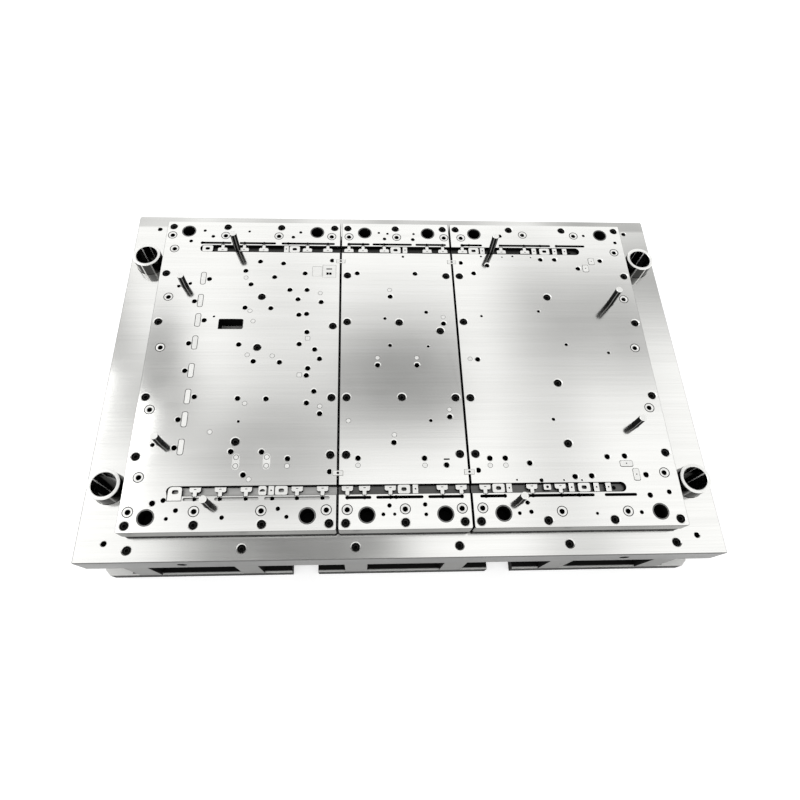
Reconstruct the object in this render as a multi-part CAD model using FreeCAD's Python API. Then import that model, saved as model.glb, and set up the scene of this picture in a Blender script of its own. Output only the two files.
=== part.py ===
import FreeCAD, Part
import os

# Lower half of a progressive stamping die, in millimetres.
# X runs along the strip, Y from the front (operator) side to the back, Z up.
# The origin is the middle of the underside, on the press bolster.

V = FreeCAD.Vector
UP = V(0, 0, 1)

# ---- Die plates: three side by side, each on its own backing plate ----
LEFT_PLATE_LENGTH = 337.0
CENTRE_PLATE_LENGTH = 212.0
RIGHT_PLATE_LENGTH = 347.0
PLATE_GAP = 3.0
PLATE_DEPTH = 611.0
PLATE_CORNER_CHAMFER = 3.0
DIE_PLATE_THICKNESS = 25.0
BACKING_PLATE_THICKNESS = 12.0
BACKING_PLATE_SETBACK = 1.0

# ---- Die shoe: reaches past the die plates on all four sides ----
SHOE_END_MARGIN = 74.0
SHOE_FRONT_MARGIN = 38.5
SHOE_BACK_MARGIN = 45.5
SHOE_THICKNESS = 50.0
SHOE_CORNER_CHAMFER = 3.0

# ---- Parallels: six bars that carry the shoe over the scrap spaces ----
PARALLEL_HEIGHT = 80.0
PARALLEL_WIDTH = 38.0
PARALLEL_END_INSET = 81.0
PARALLEL_OUTER_PITCH = 179.0
PARALLEL_INNER_PITCH = 181.0

# ---- Clamp plate: slotted at the front and back for the press clamps ----
CLAMP_PLATE_THICKNESS = 25.0
CLAMP_PLATE_CORNER_CHAMFER = 10.0
CLAMP_SLOT_WIDTH = 46.0
CLAMP_SLOT_DEPTH = 62.0
CLAMP_SLOT_SPACING = 350.0

# ---- Main guide bushes: one near each corner of the shoe ----
BUSH_BORE_DIAMETER = 40.0
BUSH_WALL = 6.0
BUSH_STAND_HEIGHT = 28.0
BUSH_END_INSET = 39.0
BUSH_EDGE_INSET = 119.5
BUSH_SEAT_CLEARANCE = 0.01

# ---- Screws that hold the shoe to the parallels, and lifting holes ----
SCREW_HEAD_DIAMETER = 13.0
SCREW_HEAD_CLEARANCE = 0.5
COUNTERBORE_DEPTH = 10.0
SHOE_SCREW_INSET = 19.5
LIFTING_HOLE_DIAMETER = 14.0
LIFTING_HOLE_DEPTH = 30.0
LIFTING_HOLE_SPACING = 724.0

# ---- Corner screws of the die plates ----
PLATE_SCREW_INSET = 11.5

# ---- Inner guide bores for the stripper plates' guide posts ----
INNER_BORE_DIAMETER = 22.0
INNER_BORE_EDGE_INSET = 23.5
LEFT_PLATE_BORE_INSETS = (42.5, 45.5)
CENTRE_PLATE_BORE_INSETS = (45.0, 42.0)
RIGHT_PLATE_BORE_INSETS = (48.0, 42.5)

# ---- Lifter pins: sprung, with square heads that stop under the die plate ----
LIFTER_DIAMETER = 12.0
LIFTER_STAND_HEIGHT = 30.0
LIFTER_TALL_STAND_HEIGHT = 44.0
LIFTER_TRAVEL = 12.0
LIFTER_RUNNING_CLEARANCE = 0.05
LIFTER_HEAD_WIDTH = 18.0
LIFTER_HEAD_THICKNESS = 6.0
LIFTER_HEAD_CLEARANCE = 0.5
# The spring blocks are squeezed by this share of their length over the full travel
SPRING_STROKE_SHARE = 0.25
SPRING_WIDTH = 14.0
# Lifters at the strip's ends: along X from the left end of the plate, and Y from its middle
LEFT_END_LIFTERS = ((49.0, 154.5), (47.0, -157.5))
RIGHT_END_LIFTERS = ((296.0, 119.0), (294.0, -130.5))
# Lifters at the strip's edges, along X from the left end of the plate
LEFT_BACK_LIFTER = 139.0
LEFT_FRONT_LIFTER = 135.0
RIGHT_BACK_LIFTER = 79.0
RIGHT_FRONT_LIFTER = 77.0
# The back ones stand in the channel, the front ones this far outside its middle line
FRONT_LIFTER_OFFSET = 21.0
# The taller ones, counted in the order above: left end, left edges, right end, right edges
TALL_LIFTERS = (3, 5, 7)

# ---- Strip guide channels: one row near the front, one near the back ----
CHANNEL_EDGE_INSET = 65.0
CHANNEL_WIDTH = 15.5
CHANNEL_DEPTH = 6.0
# The channel starts and stops here, along X from the left end of the outer plates
CHANNEL_START = 69.0
CHANNEL_STOP = 255.0
RELIEF_SLOT_OFFSET = 13.2
RELIEF_SLOT_WIDTH = 5.0
RELIEF_SLOT_DEPTH = 10.0
PIECE_CLEARANCE = 0.3

# T keys in the channels, along X from the left end of their plate
T_HEAD_LENGTH = 18.0
T_HEAD_WIDTH = 8.5
T_STEM_WIDTH = 7.0
LEFT_T_KEYS_FRONT = (113.5, 153.0, 193.5, 274.0, 314.5)
LEFT_T_KEYS_BACK = (111.0, 189.5, 273.5, 313.0)
CENTRE_T_KEYS = (14.0, 41.5, 83.0, 167.0, 198.0)
RIGHT_T_KEYS = (22.0, 99.0, 146.0)

# Guide blocks with a locating window, and plain bars across the channels
GUIDE_BLOCK_LENGTH = 20.0
GUIDE_BLOCK_CHAMFER = 4.0
GUIDE_BLOCK_WINDOW_LENGTH = 9.0
GUIDE_BLOCK_WINDOW_WIDTH = 5.0
LEFT_GUIDE_BLOCKS = (82.5, 249.0)
CENTRE_GUIDE_BLOCKS = (105.0,)
RIGHT_GUIDE_BLOCKS = (44.0, 185.5)
CROSS_BAR_LENGTH = 9.0
LEFT_CROSS_BARS = (233.0,)
CENTRE_CROSS_BARS = (123.5,)
RIGHT_CROSS_BARS = (61.5, 164.5, 206.0, 226.0)

# Relief slots outside the channels, from and to, along X from the left end of their plate
LEFT_RELIEF_SLOTS = ((66.0, 127.0), (145.0, 213.0), (223.0, 326.0))
CENTRE_RELIEF_SLOTS = ((10.5, 53.0), (59.5, 136.5), (143.5, 200.5))
RIGHT_RELIEF_SLOTS = ((15.0, 57.0), (90.0, 200.0), (213.0, 271.0))

# ---- Form station window and flush inserts ----
WINDOW_LENGTH = 44.0
WINDOW_WIDTH = 21.5
WINDOW_FROM_LEFT = 141.0
WINDOW_FROM_MIDDLE = 70.5
INSERT_THICKNESS = 8.0
NOTCH_INSERT_LENGTH = 18.0
NOTCH_INSERT_WIDTH = 22.0
TRIM_INSERT_LENGTH = 25.0
TRIM_INSERT_WIDTH = 29.0
TRIM_INSERT_FROM_RIGHT = 20.0
FORM_INSERT_FROM_CHANNEL = 52.5
INSERT_SPACING = 23.0
# Small inserts of the right plate: along X from its left end, inward from the channel, length and width
BACK_CORNER_INSERTS = ((276.0, 23.5, 11.0, 15.0), (262.0, 40.5, 11.0, 16.0))
FRONT_CORNER_INSERTS = ((264.0, 40.0, 21.0, 10.0), (277.5, 21.0, 10.0, 20.0))
# Column of long inserts on the left plate, along Y from the middle of its depth
SLOT_INSERT_LENGTH = 27.0
SLOT_INSERT_WIDTH = 9.0
SLOT_INSERT_CHAMFER = 2.5
SLOT_INSERTS_FROM_LEFT = 82.0
SLOT_INSERT_ROWS = (170.0, 120.0, 78.0, 31.0, -25.0, -75.0, -117.0, -166.0)

# ---- Joint clips that tie neighbouring die plates together ----
CLIP_LENGTH = 16.0
CLIP_WIDTH = 8.0
CLIP_THICKNESS = 6.0
CLIP_FROM_CHANNEL = 28.0

# ---- Heights and outlines that follow from the sizes above ----
SHOE_BOTTOM = CLAMP_PLATE_THICKNESS + PARALLEL_HEIGHT
SHOE_TOP = SHOE_BOTTOM + SHOE_THICKNESS
DIE_PLATE_BOTTOM = SHOE_TOP + BACKING_PLATE_THICKNESS
DIE_PLATE_TOP = DIE_PLATE_BOTTOM + DIE_PLATE_THICKNESS
DIE_SET_LENGTH = LEFT_PLATE_LENGTH + CENTRE_PLATE_LENGTH + RIGHT_PLATE_LENGTH + 2 * PLATE_GAP
SHOE_LENGTH = DIE_SET_LENGTH + 2 * SHOE_END_MARGIN
SHOE_DEPTH = PLATE_DEPTH + SHOE_FRONT_MARGIN + SHOE_BACK_MARGIN
MIDDLE_Y = (SHOE_FRONT_MARGIN - SHOE_BACK_MARGIN) / 2
PLATE_FRONT_Y = MIDDLE_Y - PLATE_DEPTH / 2
LEFT_PLATE_X = -DIE_SET_LENGTH / 2
CENTRE_PLATE_X = LEFT_PLATE_X + LEFT_PLATE_LENGTH + PLATE_GAP
RIGHT_PLATE_X = CENTRE_PLATE_X + CENTRE_PLATE_LENGTH + PLATE_GAP
COUNTERBORE_DIAMETER = SCREW_HEAD_DIAMETER + 2 * SCREW_HEAD_CLEARANCE
SPRING_LENGTH = LIFTER_TRAVEL / SPRING_STROKE_SHARE
SPRING_TOP = DIE_PLATE_BOTTOM - LIFTER_HEAD_THICKNESS
HEAD_WINDOW_WIDTH = LIFTER_HEAD_WIDTH + 2 * LIFTER_HEAD_CLEARANCE
PLATES = {
    "left": (LEFT_PLATE_X, LEFT_PLATE_LENGTH),
    "centre": (CENTRE_PLATE_X, CENTRE_PLATE_LENGTH),
    "right": (RIGHT_PLATE_X, RIGHT_PLATE_LENGTH),
}
SIDES = {"front": -1, "back": 1}


# ---- Shapes used by several pieces ----
def plate(x, y, z, length, depth, thickness, chamfer=0.0):
    """Flat plate with its lowest corner at (x, y, z) and its upright corners chamfered."""
    outline = [
        V(x + chamfer, y, z),
        V(x + length - chamfer, y, z),
        V(x + length, y + chamfer, z),
        V(x + length, y + depth - chamfer, z),
        V(x + length - chamfer, y + depth, z),
        V(x + chamfer, y + depth, z),
        V(x, y + depth - chamfer, z),
        V(x, y + chamfer, z),
    ]
    if chamfer == 0:
        outline = outline[0::2]
    return Part.Face(Part.makePolygon(outline + outline[:1])).extrude(V(0, 0, thickness))


def block(x, y, top, length, width, thickness):
    """Rectangular block centred on (x, y), with its top face at the given height."""
    return Part.makeBox(length, width, thickness, V(x - length / 2, y - width / 2, top - thickness))


def hole(x, y, top, diameter, depth):
    """Round upright hole or shaft that reaches down from the given height."""
    return Part.makeCylinder(diameter / 2, depth, V(x, y, top - depth), UP)


def cut_all(solid, tools):
    """The solid with every tool cut away in one step."""
    return solid.cut(Part.makeCompound(tools)).Solids[0]


def export(name, solids):
    """One STEP file per named sub-part; a group of like pieces shares a file."""
    shape = solids[0] if len(solids) == 1 else Part.makeCompound(solids)
    shape.exportStep("parts/" + name + ".step")


# ---- Places that several pieces share ----
def bush_places():
    """Centres of the four main guide bushes."""
    x = SHOE_LENGTH / 2 - BUSH_END_INSET
    y = SHOE_DEPTH / 2 - BUSH_EDGE_INSET
    return [(end * x, side * y) for side in SIDES.values() for end in (-1, 1)]


def parallel_places():
    """Middle of each parallel along X, from left to right."""
    outer = SHOE_LENGTH / 2 - PARALLEL_END_INSET
    half = (outer, outer - PARALLEL_OUTER_PITCH, outer - PARALLEL_OUTER_PITCH - PARALLEL_INNER_PITCH)
    return [-x for x in half] + [x for x in reversed(half)]


def lifter_places():
    """Axis of each lifter pin, with the plate that guides it."""
    back = channel_y("back")
    front = channel_y("front") - FRONT_LIFTER_OFFSET
    left = [("left", LEFT_PLATE_X + x, MIDDLE_Y + y) for x, y in LEFT_END_LIFTERS]
    left.append(("left", LEFT_PLATE_X + LEFT_BACK_LIFTER, back))
    left.append(("left", LEFT_PLATE_X + LEFT_FRONT_LIFTER, front))
    right = [("right", RIGHT_PLATE_X + x, MIDDLE_Y + y) for x, y in RIGHT_END_LIFTERS]
    right.append(("right", RIGHT_PLATE_X + RIGHT_BACK_LIFTER, back))
    right.append(("right", RIGHT_PLATE_X + RIGHT_FRONT_LIFTER, front))
    return left + right


def channel_y(side):
    """Middle line of the front or back strip guide channel."""
    return MIDDLE_Y + SIDES[side] * (PLATE_DEPTH / 2 - CHANNEL_EDGE_INSET)


def inward_from_channel(side, distance):
    """Y at this distance from the channel, towards the middle of the die."""
    return channel_y(side) - SIDES[side] * distance


def clip_places():
    """Middle of each joint clip: two on each joint between die plates."""
    joints = (CENTRE_PLATE_X - PLATE_GAP / 2, RIGHT_PLATE_X - PLATE_GAP / 2)
    return [(x, inward_from_channel(side, CLIP_FROM_CHANNEL)) for x in joints for side in SIDES]


def form_insert_places():
    """Place and plan size of the notching and trimming inserts on the left plate."""
    trim_x = LEFT_PLATE_X + LEFT_PLATE_LENGTH - TRIM_INSERT_FROM_RIGHT
    y = inward_from_channel("back", FORM_INSERT_FROM_CHANNEL)
    return [
        (trim_x - INSERT_SPACING, y, NOTCH_INSERT_LENGTH, NOTCH_INSERT_WIDTH),
        (trim_x, y, TRIM_INSERT_LENGTH, TRIM_INSERT_WIDTH),
    ]


# ---- Base: clamp plate, parallels and shoe ----
def clamp_slot(x, side):
    """Round-ended slot, open at the front or back edge of the clamp plate."""
    radius = CLAMP_SLOT_WIDTH / 2
    edge = SIDES[side] * SHOE_DEPTH / 2
    end = edge - SIDES[side] * (CLAMP_SLOT_DEPTH - radius)
    low = min(edge, end)
    mouth = Part.makeBox(CLAMP_SLOT_WIDTH, abs(edge - end), CLAMP_PLATE_THICKNESS, V(x - radius, low, 0))
    return mouth.fuse(Part.makeCylinder(radius, CLAMP_PLATE_THICKNESS, V(x, end, 0))).removeSplitter()


def clamp_plate():
    """Bottom plate with two clamp slots in each long edge."""
    base = plate(
        -SHOE_LENGTH / 2,
        -SHOE_DEPTH / 2,
        0,
        SHOE_LENGTH,
        SHOE_DEPTH,
        CLAMP_PLATE_THICKNESS,
        CLAMP_PLATE_CORNER_CHAMFER,
    )
    slots = [clamp_slot(end * CLAMP_SLOT_SPACING / 2, side) for end in (-1, 1) for side in SIDES]
    return cut_all(base, slots)


def parallel(x):
    """One ground bar, as long as the shoe is deep."""
    return plate(
        x - PARALLEL_WIDTH / 2,
        -SHOE_DEPTH / 2,
        CLAMP_PLATE_THICKNESS,
        PARALLEL_WIDTH,
        SHOE_DEPTH,
        PARALLEL_HEIGHT,
    )


def shoe_screw_counterbores():
    """Counterbores over each parallel, along the front edge of the shoe."""
    y = -SHOE_DEPTH / 2 + SHOE_SCREW_INSET
    return [hole(x, y, SHOE_TOP, COUNTERBORE_DIAMETER, COUNTERBORE_DEPTH) for x in parallel_places()]


def lifting_holes():
    """Blind tapped holes for eyebolts, in the front and back faces of the shoe."""
    z = SHOE_TOP - SHOE_THICKNESS / 2
    holes = []
    for direction in SIDES.values():
        for end in (-1, 1):
            mouth = V(end * LIFTING_HOLE_SPACING / 2, direction * SHOE_DEPTH / 2, z)
            inward = V(0, -direction, 0)
            holes.append(Part.makeCylinder(LIFTING_HOLE_DIAMETER / 2, LIFTING_HOLE_DEPTH, mouth, inward))
    return holes


def lifter_pockets():
    """Square blind pockets in the shoe for the spring blocks under the lifter pins."""
    depth = SHOE_TOP - (SPRING_TOP - SPRING_LENGTH)
    width = HEAD_WINDOW_WIDTH
    return [block(x, y, SHOE_TOP, width, width, depth) for _, x, y in lifter_places()]


def die_shoe():
    """Thick lower plate of the die set."""
    base = plate(
        -SHOE_LENGTH / 2,
        -SHOE_DEPTH / 2,
        SHOE_BOTTOM,
        SHOE_LENGTH,
        SHOE_DEPTH,
        SHOE_THICKNESS,
        SHOE_CORNER_CHAMFER,
    )
    seat = BUSH_BORE_DIAMETER + 2 * BUSH_WALL + 2 * BUSH_SEAT_CLEARANCE
    bores = [hole(x, y, SHOE_TOP, seat, SHOE_THICKNESS) for x, y in bush_places()]
    return cut_all(base, bores + shoe_screw_counterbores() + lifting_holes() + lifter_pockets())


def guide_bush(x, y):
    """Plain sleeve, pressed through the shoe and standing proud of it."""
    length = SHOE_THICKNESS + BUSH_STAND_HEIGHT
    top = SHOE_TOP + BUSH_STAND_HEIGHT
    sleeve = hole(x, y, top, BUSH_BORE_DIAMETER + 2 * BUSH_WALL, length)
    return sleeve.cut(hole(x, y, top, BUSH_BORE_DIAMETER, length)).Solids[0]


# ---- Backing plates and die plates ----
def backing_plate(name):
    """Hardened plate under a die plate, set back a little from its edge."""
    x, length = PLATES[name]
    setback = BACKING_PLATE_SETBACK
    base = plate(
        x + setback,
        PLATE_FRONT_Y + setback,
        SHOE_TOP,
        length - 2 * setback,
        PLATE_DEPTH - 2 * setback,
        BACKING_PLATE_THICKNESS,
        PLATE_CORNER_CHAMFER,
    )
    width = HEAD_WINDOW_WIDTH
    windows = [
        block(px, py, DIE_PLATE_BOTTOM, width, width, BACKING_PLATE_THICKNESS)
        for guide, px, py in lifter_places()
        if guide == name
    ]
    return cut_all(base, windows) if windows else base


def plate_screw_places(name):
    """The four corner screws of one die plate."""
    x, length = PLATES[name]
    columns = (x + PLATE_SCREW_INSET, x + length - PLATE_SCREW_INSET)
    edge = PLATE_DEPTH / 2 - PLATE_SCREW_INSET
    return [(px, MIDDLE_Y + direction * edge) for px in columns for direction in (-1, 1)]


def inner_bore_places(name):
    """Four bores per plate for the stripper's guide posts."""
    insets = {
        "left": LEFT_PLATE_BORE_INSETS,
        "centre": CENTRE_PLATE_BORE_INSETS,
        "right": RIGHT_PLATE_BORE_INSETS,
    }
    x, length = PLATES[name]
    edge = PLATE_DEPTH / 2 - INNER_BORE_EDGE_INSET
    columns = (x + insets[name][0], x + length - insets[name][1])
    return [(px, MIDDLE_Y + direction * edge) for px in columns for direction in (-1, 1)]


def channel_cut(name, side):
    """The part of a strip guide channel that crosses one die plate."""
    x, length = PLATES[name]
    y = channel_y(side)
    radius = CHANNEL_WIDTH / 2
    start = x + CHANNEL_START + radius if name == "left" else x
    stop = x + CHANNEL_STOP - radius if name == "right" else x + length
    floor = DIE_PLATE_TOP - CHANNEL_DEPTH
    cut = Part.makeBox(stop - start, CHANNEL_WIDTH, CHANNEL_DEPTH, V(start, y - radius, floor))
    ends = {"left": [start], "centre": [], "right": [stop]}
    for end in ends[name]:
        cut = cut.fuse(hole(end, y, DIE_PLATE_TOP, CHANNEL_WIDTH, CHANNEL_DEPTH))
    return cut.removeSplitter()


def relief_slots(name, side):
    """Narrow slots outside the channel that free the edge of the strip."""
    slots = {
        "left": LEFT_RELIEF_SLOTS,
        "centre": CENTRE_RELIEF_SLOTS,
        "right": RIGHT_RELIEF_SLOTS,
    }
    x = PLATES[name][0]
    y = channel_y(side) + SIDES[side] * RELIEF_SLOT_OFFSET
    return [
        block(x + (start + stop) / 2, y, DIE_PLATE_TOP, stop - start, RELIEF_SLOT_WIDTH, RELIEF_SLOT_DEPTH)
        for start, stop in slots[name]
    ]


def clip_seats():
    """Pockets for the joint clips, cut half in each neighbouring plate."""
    gap = 2 * PIECE_CLEARANCE
    return [
        block(x, y, DIE_PLATE_TOP, CLIP_LENGTH + gap, CLIP_WIDTH + gap, CLIP_THICKNESS)
        for x, y in clip_places()
    ]


def slot_inserts(extra=0.0):
    """Column of long inserts on the left plate, or their pockets with extra room all round."""
    x = LEFT_PLATE_X + SLOT_INSERTS_FROM_LEFT
    length = SLOT_INSERT_LENGTH + 2 * extra
    width = SLOT_INSERT_WIDTH + 2 * extra
    low = DIE_PLATE_TOP - INSERT_THICKNESS
    return [
        plate(
            x - width / 2,
            MIDDLE_Y + y - length / 2,
            low,
            width,
            length,
            INSERT_THICKNESS,
            SLOT_INSERT_CHAMFER,
        )
        for y in SLOT_INSERT_ROWS
    ]


def left_plate_cuts():
    """Form window and insert pockets of the left plate."""
    window_x = LEFT_PLATE_X + WINDOW_FROM_LEFT
    window_y = MIDDLE_Y + WINDOW_FROM_MIDDLE
    gap = 2 * PIECE_CLEARANCE
    cuts = [block(window_x, window_y, DIE_PLATE_TOP, WINDOW_LENGTH, WINDOW_WIDTH, DIE_PLATE_THICKNESS)]
    for x, y, length, width in form_insert_places():
        cuts.append(block(x, y, DIE_PLATE_TOP, length + gap, width + gap, INSERT_THICKNESS))
    return cuts + slot_inserts(PIECE_CLEARANCE)


def corner_inserts(extra=0.0):
    """Small inserts of the right plate, or their pockets with extra room all round."""
    places = [("back", place) for place in BACK_CORNER_INSERTS]
    places += [("front", place) for place in FRONT_CORNER_INSERTS]
    return [
        block(
            RIGHT_PLATE_X + x,
            inward_from_channel(side, inward),
            DIE_PLATE_TOP,
            length + 2 * extra,
            width + 2 * extra,
            INSERT_THICKNESS,
        )
        for side, (x, inward, length, width) in places
    ]


def right_plate_cuts():
    """Pockets for the small inserts of the right plate."""
    return corner_inserts(PIECE_CLEARANCE)


def die_plate(name):
    """Die plate with its screw seats, guide bores, lifter bores, channels and pockets."""
    x, length = PLATES[name]
    base = plate(
        x,
        PLATE_FRONT_Y,
        DIE_PLATE_BOTTOM,
        length,
        PLATE_DEPTH,
        DIE_PLATE_THICKNESS,
        PLATE_CORNER_CHAMFER,
    )
    cuts = [
        hole(px, py, DIE_PLATE_TOP, COUNTERBORE_DIAMETER, COUNTERBORE_DEPTH)
        for px, py in plate_screw_places(name)
    ]
    cuts += [
        hole(px, py, DIE_PLATE_TOP, INNER_BORE_DIAMETER, DIE_PLATE_THICKNESS)
        for px, py in inner_bore_places(name)
    ]
    bore = LIFTER_DIAMETER + 2 * LIFTER_RUNNING_CLEARANCE
    cuts += [
        hole(px, py, DIE_PLATE_TOP, bore, DIE_PLATE_THICKNESS)
        for guide, px, py in lifter_places()
        if guide == name
    ]
    for side in SIDES:
        cuts.append(channel_cut(name, side))
        cuts += relief_slots(name, side)
    extra = {"left": left_plate_cuts, "centre": list, "right": right_plate_cuts}
    cuts += clip_seats() + extra[name]()
    return cut_all(base, cuts)


# ---- Lifters ----
def lifter_pin(x, y, stand):
    """Round pin on a square head; the head's top face stops under the die plate."""
    shaft = hole(x, y, DIE_PLATE_TOP + stand, LIFTER_DIAMETER, DIE_PLATE_THICKNESS + stand)
    head = block(x, y, DIE_PLATE_BOTTOM, LIFTER_HEAD_WIDTH, LIFTER_HEAD_WIDTH, LIFTER_HEAD_THICKNESS)
    return shaft.fuse(head).Solids[0]


def lifter_spring(x, y):
    """Polyurethane spring block between the pocket floor and the pin's head."""
    return block(x, y, SPRING_TOP, SPRING_WIDTH, SPRING_WIDTH, SPRING_LENGTH)


# ---- Pieces set in the channels ----
def t_key(x, side):
    """T-shaped key: head along the inner wall, stem across to the outer wall."""
    outward = SIDES[side]
    inner = channel_y(side) - outward * (CHANNEL_WIDTH / 2 - PIECE_CLEARANCE)
    neck = inner + outward * T_HEAD_WIDTH
    outer = channel_y(side) + outward * (CHANNEL_WIDTH / 2 - PIECE_CLEARANCE)
    low = DIE_PLATE_TOP - CHANNEL_DEPTH
    half_head = T_HEAD_LENGTH / 2
    half_stem = T_STEM_WIDTH / 2
    points = [
        V(x - half_head, inner, low),
        V(x + half_head, inner, low),
        V(x + half_head, neck, low),
        V(x + half_stem, neck, low),
        V(x + half_stem, outer, low),
        V(x - half_stem, outer, low),
        V(x - half_stem, neck, low),
        V(x - half_head, neck, low),
    ]
    return Part.Face(Part.makePolygon(points + points[:1])).extrude(V(0, 0, CHANNEL_DEPTH))


def t_keys(side):
    """All T keys of one channel."""
    left = LEFT_T_KEYS_FRONT if side == "front" else LEFT_T_KEYS_BACK
    rows = {"left": left, "centre": CENTRE_T_KEYS, "right": RIGHT_T_KEYS}
    return [t_key(PLATES[name][0] + x, side) for name in PLATES for x in rows[name]]


def guide_block(x, side):
    """Block across the channel, chamfered to clear its round end, with a locating window."""
    width = CHANNEL_WIDTH - 2 * PIECE_CLEARANCE
    y = channel_y(side)
    body = plate(
        x - GUIDE_BLOCK_LENGTH / 2,
        y - width / 2,
        DIE_PLATE_TOP - CHANNEL_DEPTH,
        GUIDE_BLOCK_LENGTH,
        width,
        CHANNEL_DEPTH,
        GUIDE_BLOCK_CHAMFER,
    )
    window = block(
        x, y, DIE_PLATE_TOP, GUIDE_BLOCK_WINDOW_LENGTH, GUIDE_BLOCK_WINDOW_WIDTH, CHANNEL_DEPTH
    )
    return body.cut(window).Solids[0]


def guide_blocks(side):
    """All guide blocks of one channel."""
    rows = {"left": LEFT_GUIDE_BLOCKS, "centre": CENTRE_GUIDE_BLOCKS, "right": RIGHT_GUIDE_BLOCKS}
    return [guide_block(PLATES[name][0] + x, side) for name in PLATES for x in rows[name]]


def cross_bars(side):
    """Plain bars across one channel."""
    rows = {"left": LEFT_CROSS_BARS, "centre": CENTRE_CROSS_BARS, "right": RIGHT_CROSS_BARS}
    width = CHANNEL_WIDTH - 2 * PIECE_CLEARANCE
    y = channel_y(side)
    return [
        block(PLATES[name][0] + x, y, DIE_PLATE_TOP, CROSS_BAR_LENGTH, width, CHANNEL_DEPTH)
        for name in PLATES
        for x in rows[name]
    ]


# ---- Flush inserts and clips ----
def form_inserts():
    """Notching and trimming inserts, flush in their pockets."""
    return [
        block(x, y, DIE_PLATE_TOP, length, width, INSERT_THICKNESS)
        for x, y, length, width in form_insert_places()
    ]


def joint_clips():
    """Clips set flush across the joints between the die plates."""
    return [
        block(x, y, DIE_PLATE_TOP, CLIP_LENGTH, CLIP_WIDTH, CLIP_THICKNESS) for x, y in clip_places()
    ]


def build():
    """Write every sub-part."""
    os.makedirs("parts", exist_ok=True)
    export("clamp_plate", [clamp_plate()])
    for number, x in enumerate(parallel_places(), 1):
        export("parallel_" + str(number), [parallel(x)])
    export("die_shoe", [die_shoe()])
    export("guide_bushes", [guide_bush(x, y) for x, y in bush_places()])
    for name in PLATES:
        export("backing_plate_" + name, [backing_plate(name)])
        export("die_plate_" + name, [die_plate(name)])
    for number, (_, x, y) in enumerate(lifter_places(), 1):
        stand = LIFTER_TALL_STAND_HEIGHT if number in TALL_LIFTERS else LIFTER_STAND_HEIGHT
        export("lifter_pin_" + str(number), [lifter_pin(x, y, stand)])
        export("lifter_spring_" + str(number), [lifter_spring(x, y)])
    for side in SIDES:
        export("t_keys_" + side, t_keys(side))
        export("guide_blocks_" + side, guide_blocks(side))
        export("cross_bars_" + side, cross_bars(side))
    export("form_inserts", form_inserts())
    export("corner_inserts", corner_inserts())
    export("slot_inserts", slot_inserts())
    export("joint_clips", joint_clips())


build()
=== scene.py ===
import math

import bmesh
import bpy
from mathutils import Matrix, Vector, geometry


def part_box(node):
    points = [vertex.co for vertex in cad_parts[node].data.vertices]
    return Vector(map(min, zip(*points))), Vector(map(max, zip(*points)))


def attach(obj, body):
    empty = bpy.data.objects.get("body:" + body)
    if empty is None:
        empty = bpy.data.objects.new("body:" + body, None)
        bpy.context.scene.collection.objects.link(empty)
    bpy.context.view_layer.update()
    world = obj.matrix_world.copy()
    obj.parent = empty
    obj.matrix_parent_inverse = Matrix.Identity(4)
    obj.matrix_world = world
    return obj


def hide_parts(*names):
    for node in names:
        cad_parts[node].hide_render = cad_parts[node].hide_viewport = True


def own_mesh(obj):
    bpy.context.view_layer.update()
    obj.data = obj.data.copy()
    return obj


# Lower half of a progressive stamping die, dressed over its CAD frame.
# Sizes and places are in millimetres. Meshes are made in metres.
MM = 0.001

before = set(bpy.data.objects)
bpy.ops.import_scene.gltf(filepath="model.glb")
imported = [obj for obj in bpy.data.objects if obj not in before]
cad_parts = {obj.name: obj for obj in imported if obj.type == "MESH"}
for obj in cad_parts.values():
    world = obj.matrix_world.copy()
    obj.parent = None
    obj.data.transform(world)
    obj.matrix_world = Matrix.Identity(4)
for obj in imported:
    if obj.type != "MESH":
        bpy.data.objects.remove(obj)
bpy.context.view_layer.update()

# Indices of a piece's materials. In most pieces the side, bore and dark edge faces take painted shade, and
# the gleam and faint faces take painted highlights.
TOP, EDGE, SIDE, BORE, DARK_EDGE, PAINTED_GLEAM, PAINTED_FAINT_GLEAM = range(7)

# ---- Sizes of the details, which the CAD frame leaves out or keeps plainer ----
CHAMFER = 1.0
WIDE_CHAMFER = 1.4
FINE_CHAMFER = 0.4
HEAD_GAP = 1.8
FIT_GAP = 0.3
INSERT_GAP = 0.5
INSERT_CHAMFER = 0.3
SMALL_INSERT_GAP = 0.9
TRIM_INSERT_FROM = 20.0
PLATE_CORNER_RADIUS = 3.0
PLATE_CHAMFER = 0.6
CHANNEL_WIDTH = 15.5
CHANNEL_DEPTH = 6.0
CHANNEL_FLOOR_THICKNESS = 1.0
CHANNEL_FLOOR_WIDTH = 12.6
CHANNEL_HOLE = 237.0
CHANNEL_EDGE_INSET = 65.0
CHANNEL_START = 69.0
CHANNEL_STOP = 255.0
RELIEF_OFFSET = 13.2
RELIEF_WIDTH = 5.0
RELIEF_FLOOR = 3.0
STEM_HOLE = 6.6
STEM_WIDTH = 6.0
STEM_REACH = 1.4
KEY_HEAD = 8.0
KEY_BEVEL = 2
# Length, width and corner radius of the slit in a key, and of the openings of the blocks.
KEY_SLIT = (4.0, 1.2, 0.5)
KEY_SLIT_PLACE = 3.2
BLOCK_OPENING = (8.5, 6.0, 2.6)
END_OPENING = (10.0, 6.5, 2.6)
BAR_HOLE = 2.4
CORNER_INSERT_HOLE = 2.2
SQUARE_KEY_HOLE = 4.2
SQUARE_KEY_PIN = 3.6
JOINT_STRIP_HEIGHT = 1.0
SCREW_HEAD = 13.0
SCREW_SEAT = 14.0
SCREW_SOCKET = 6.0
SCREW_SOCKET_DEPTH = 4.0
SCREW_HEAD_HEIGHT = 8.0
SCREW_SINK = 2.0
SCREW_CHAMFER = 0.7
DOWEL = 15.8
DOWEL_GROOVE = 0.55
DOWEL_SEAT = DOWEL + 2 * DOWEL_GROOVE
DOWEL_BORE = 8.5
DOWEL_CHAMFER = 0.8
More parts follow.
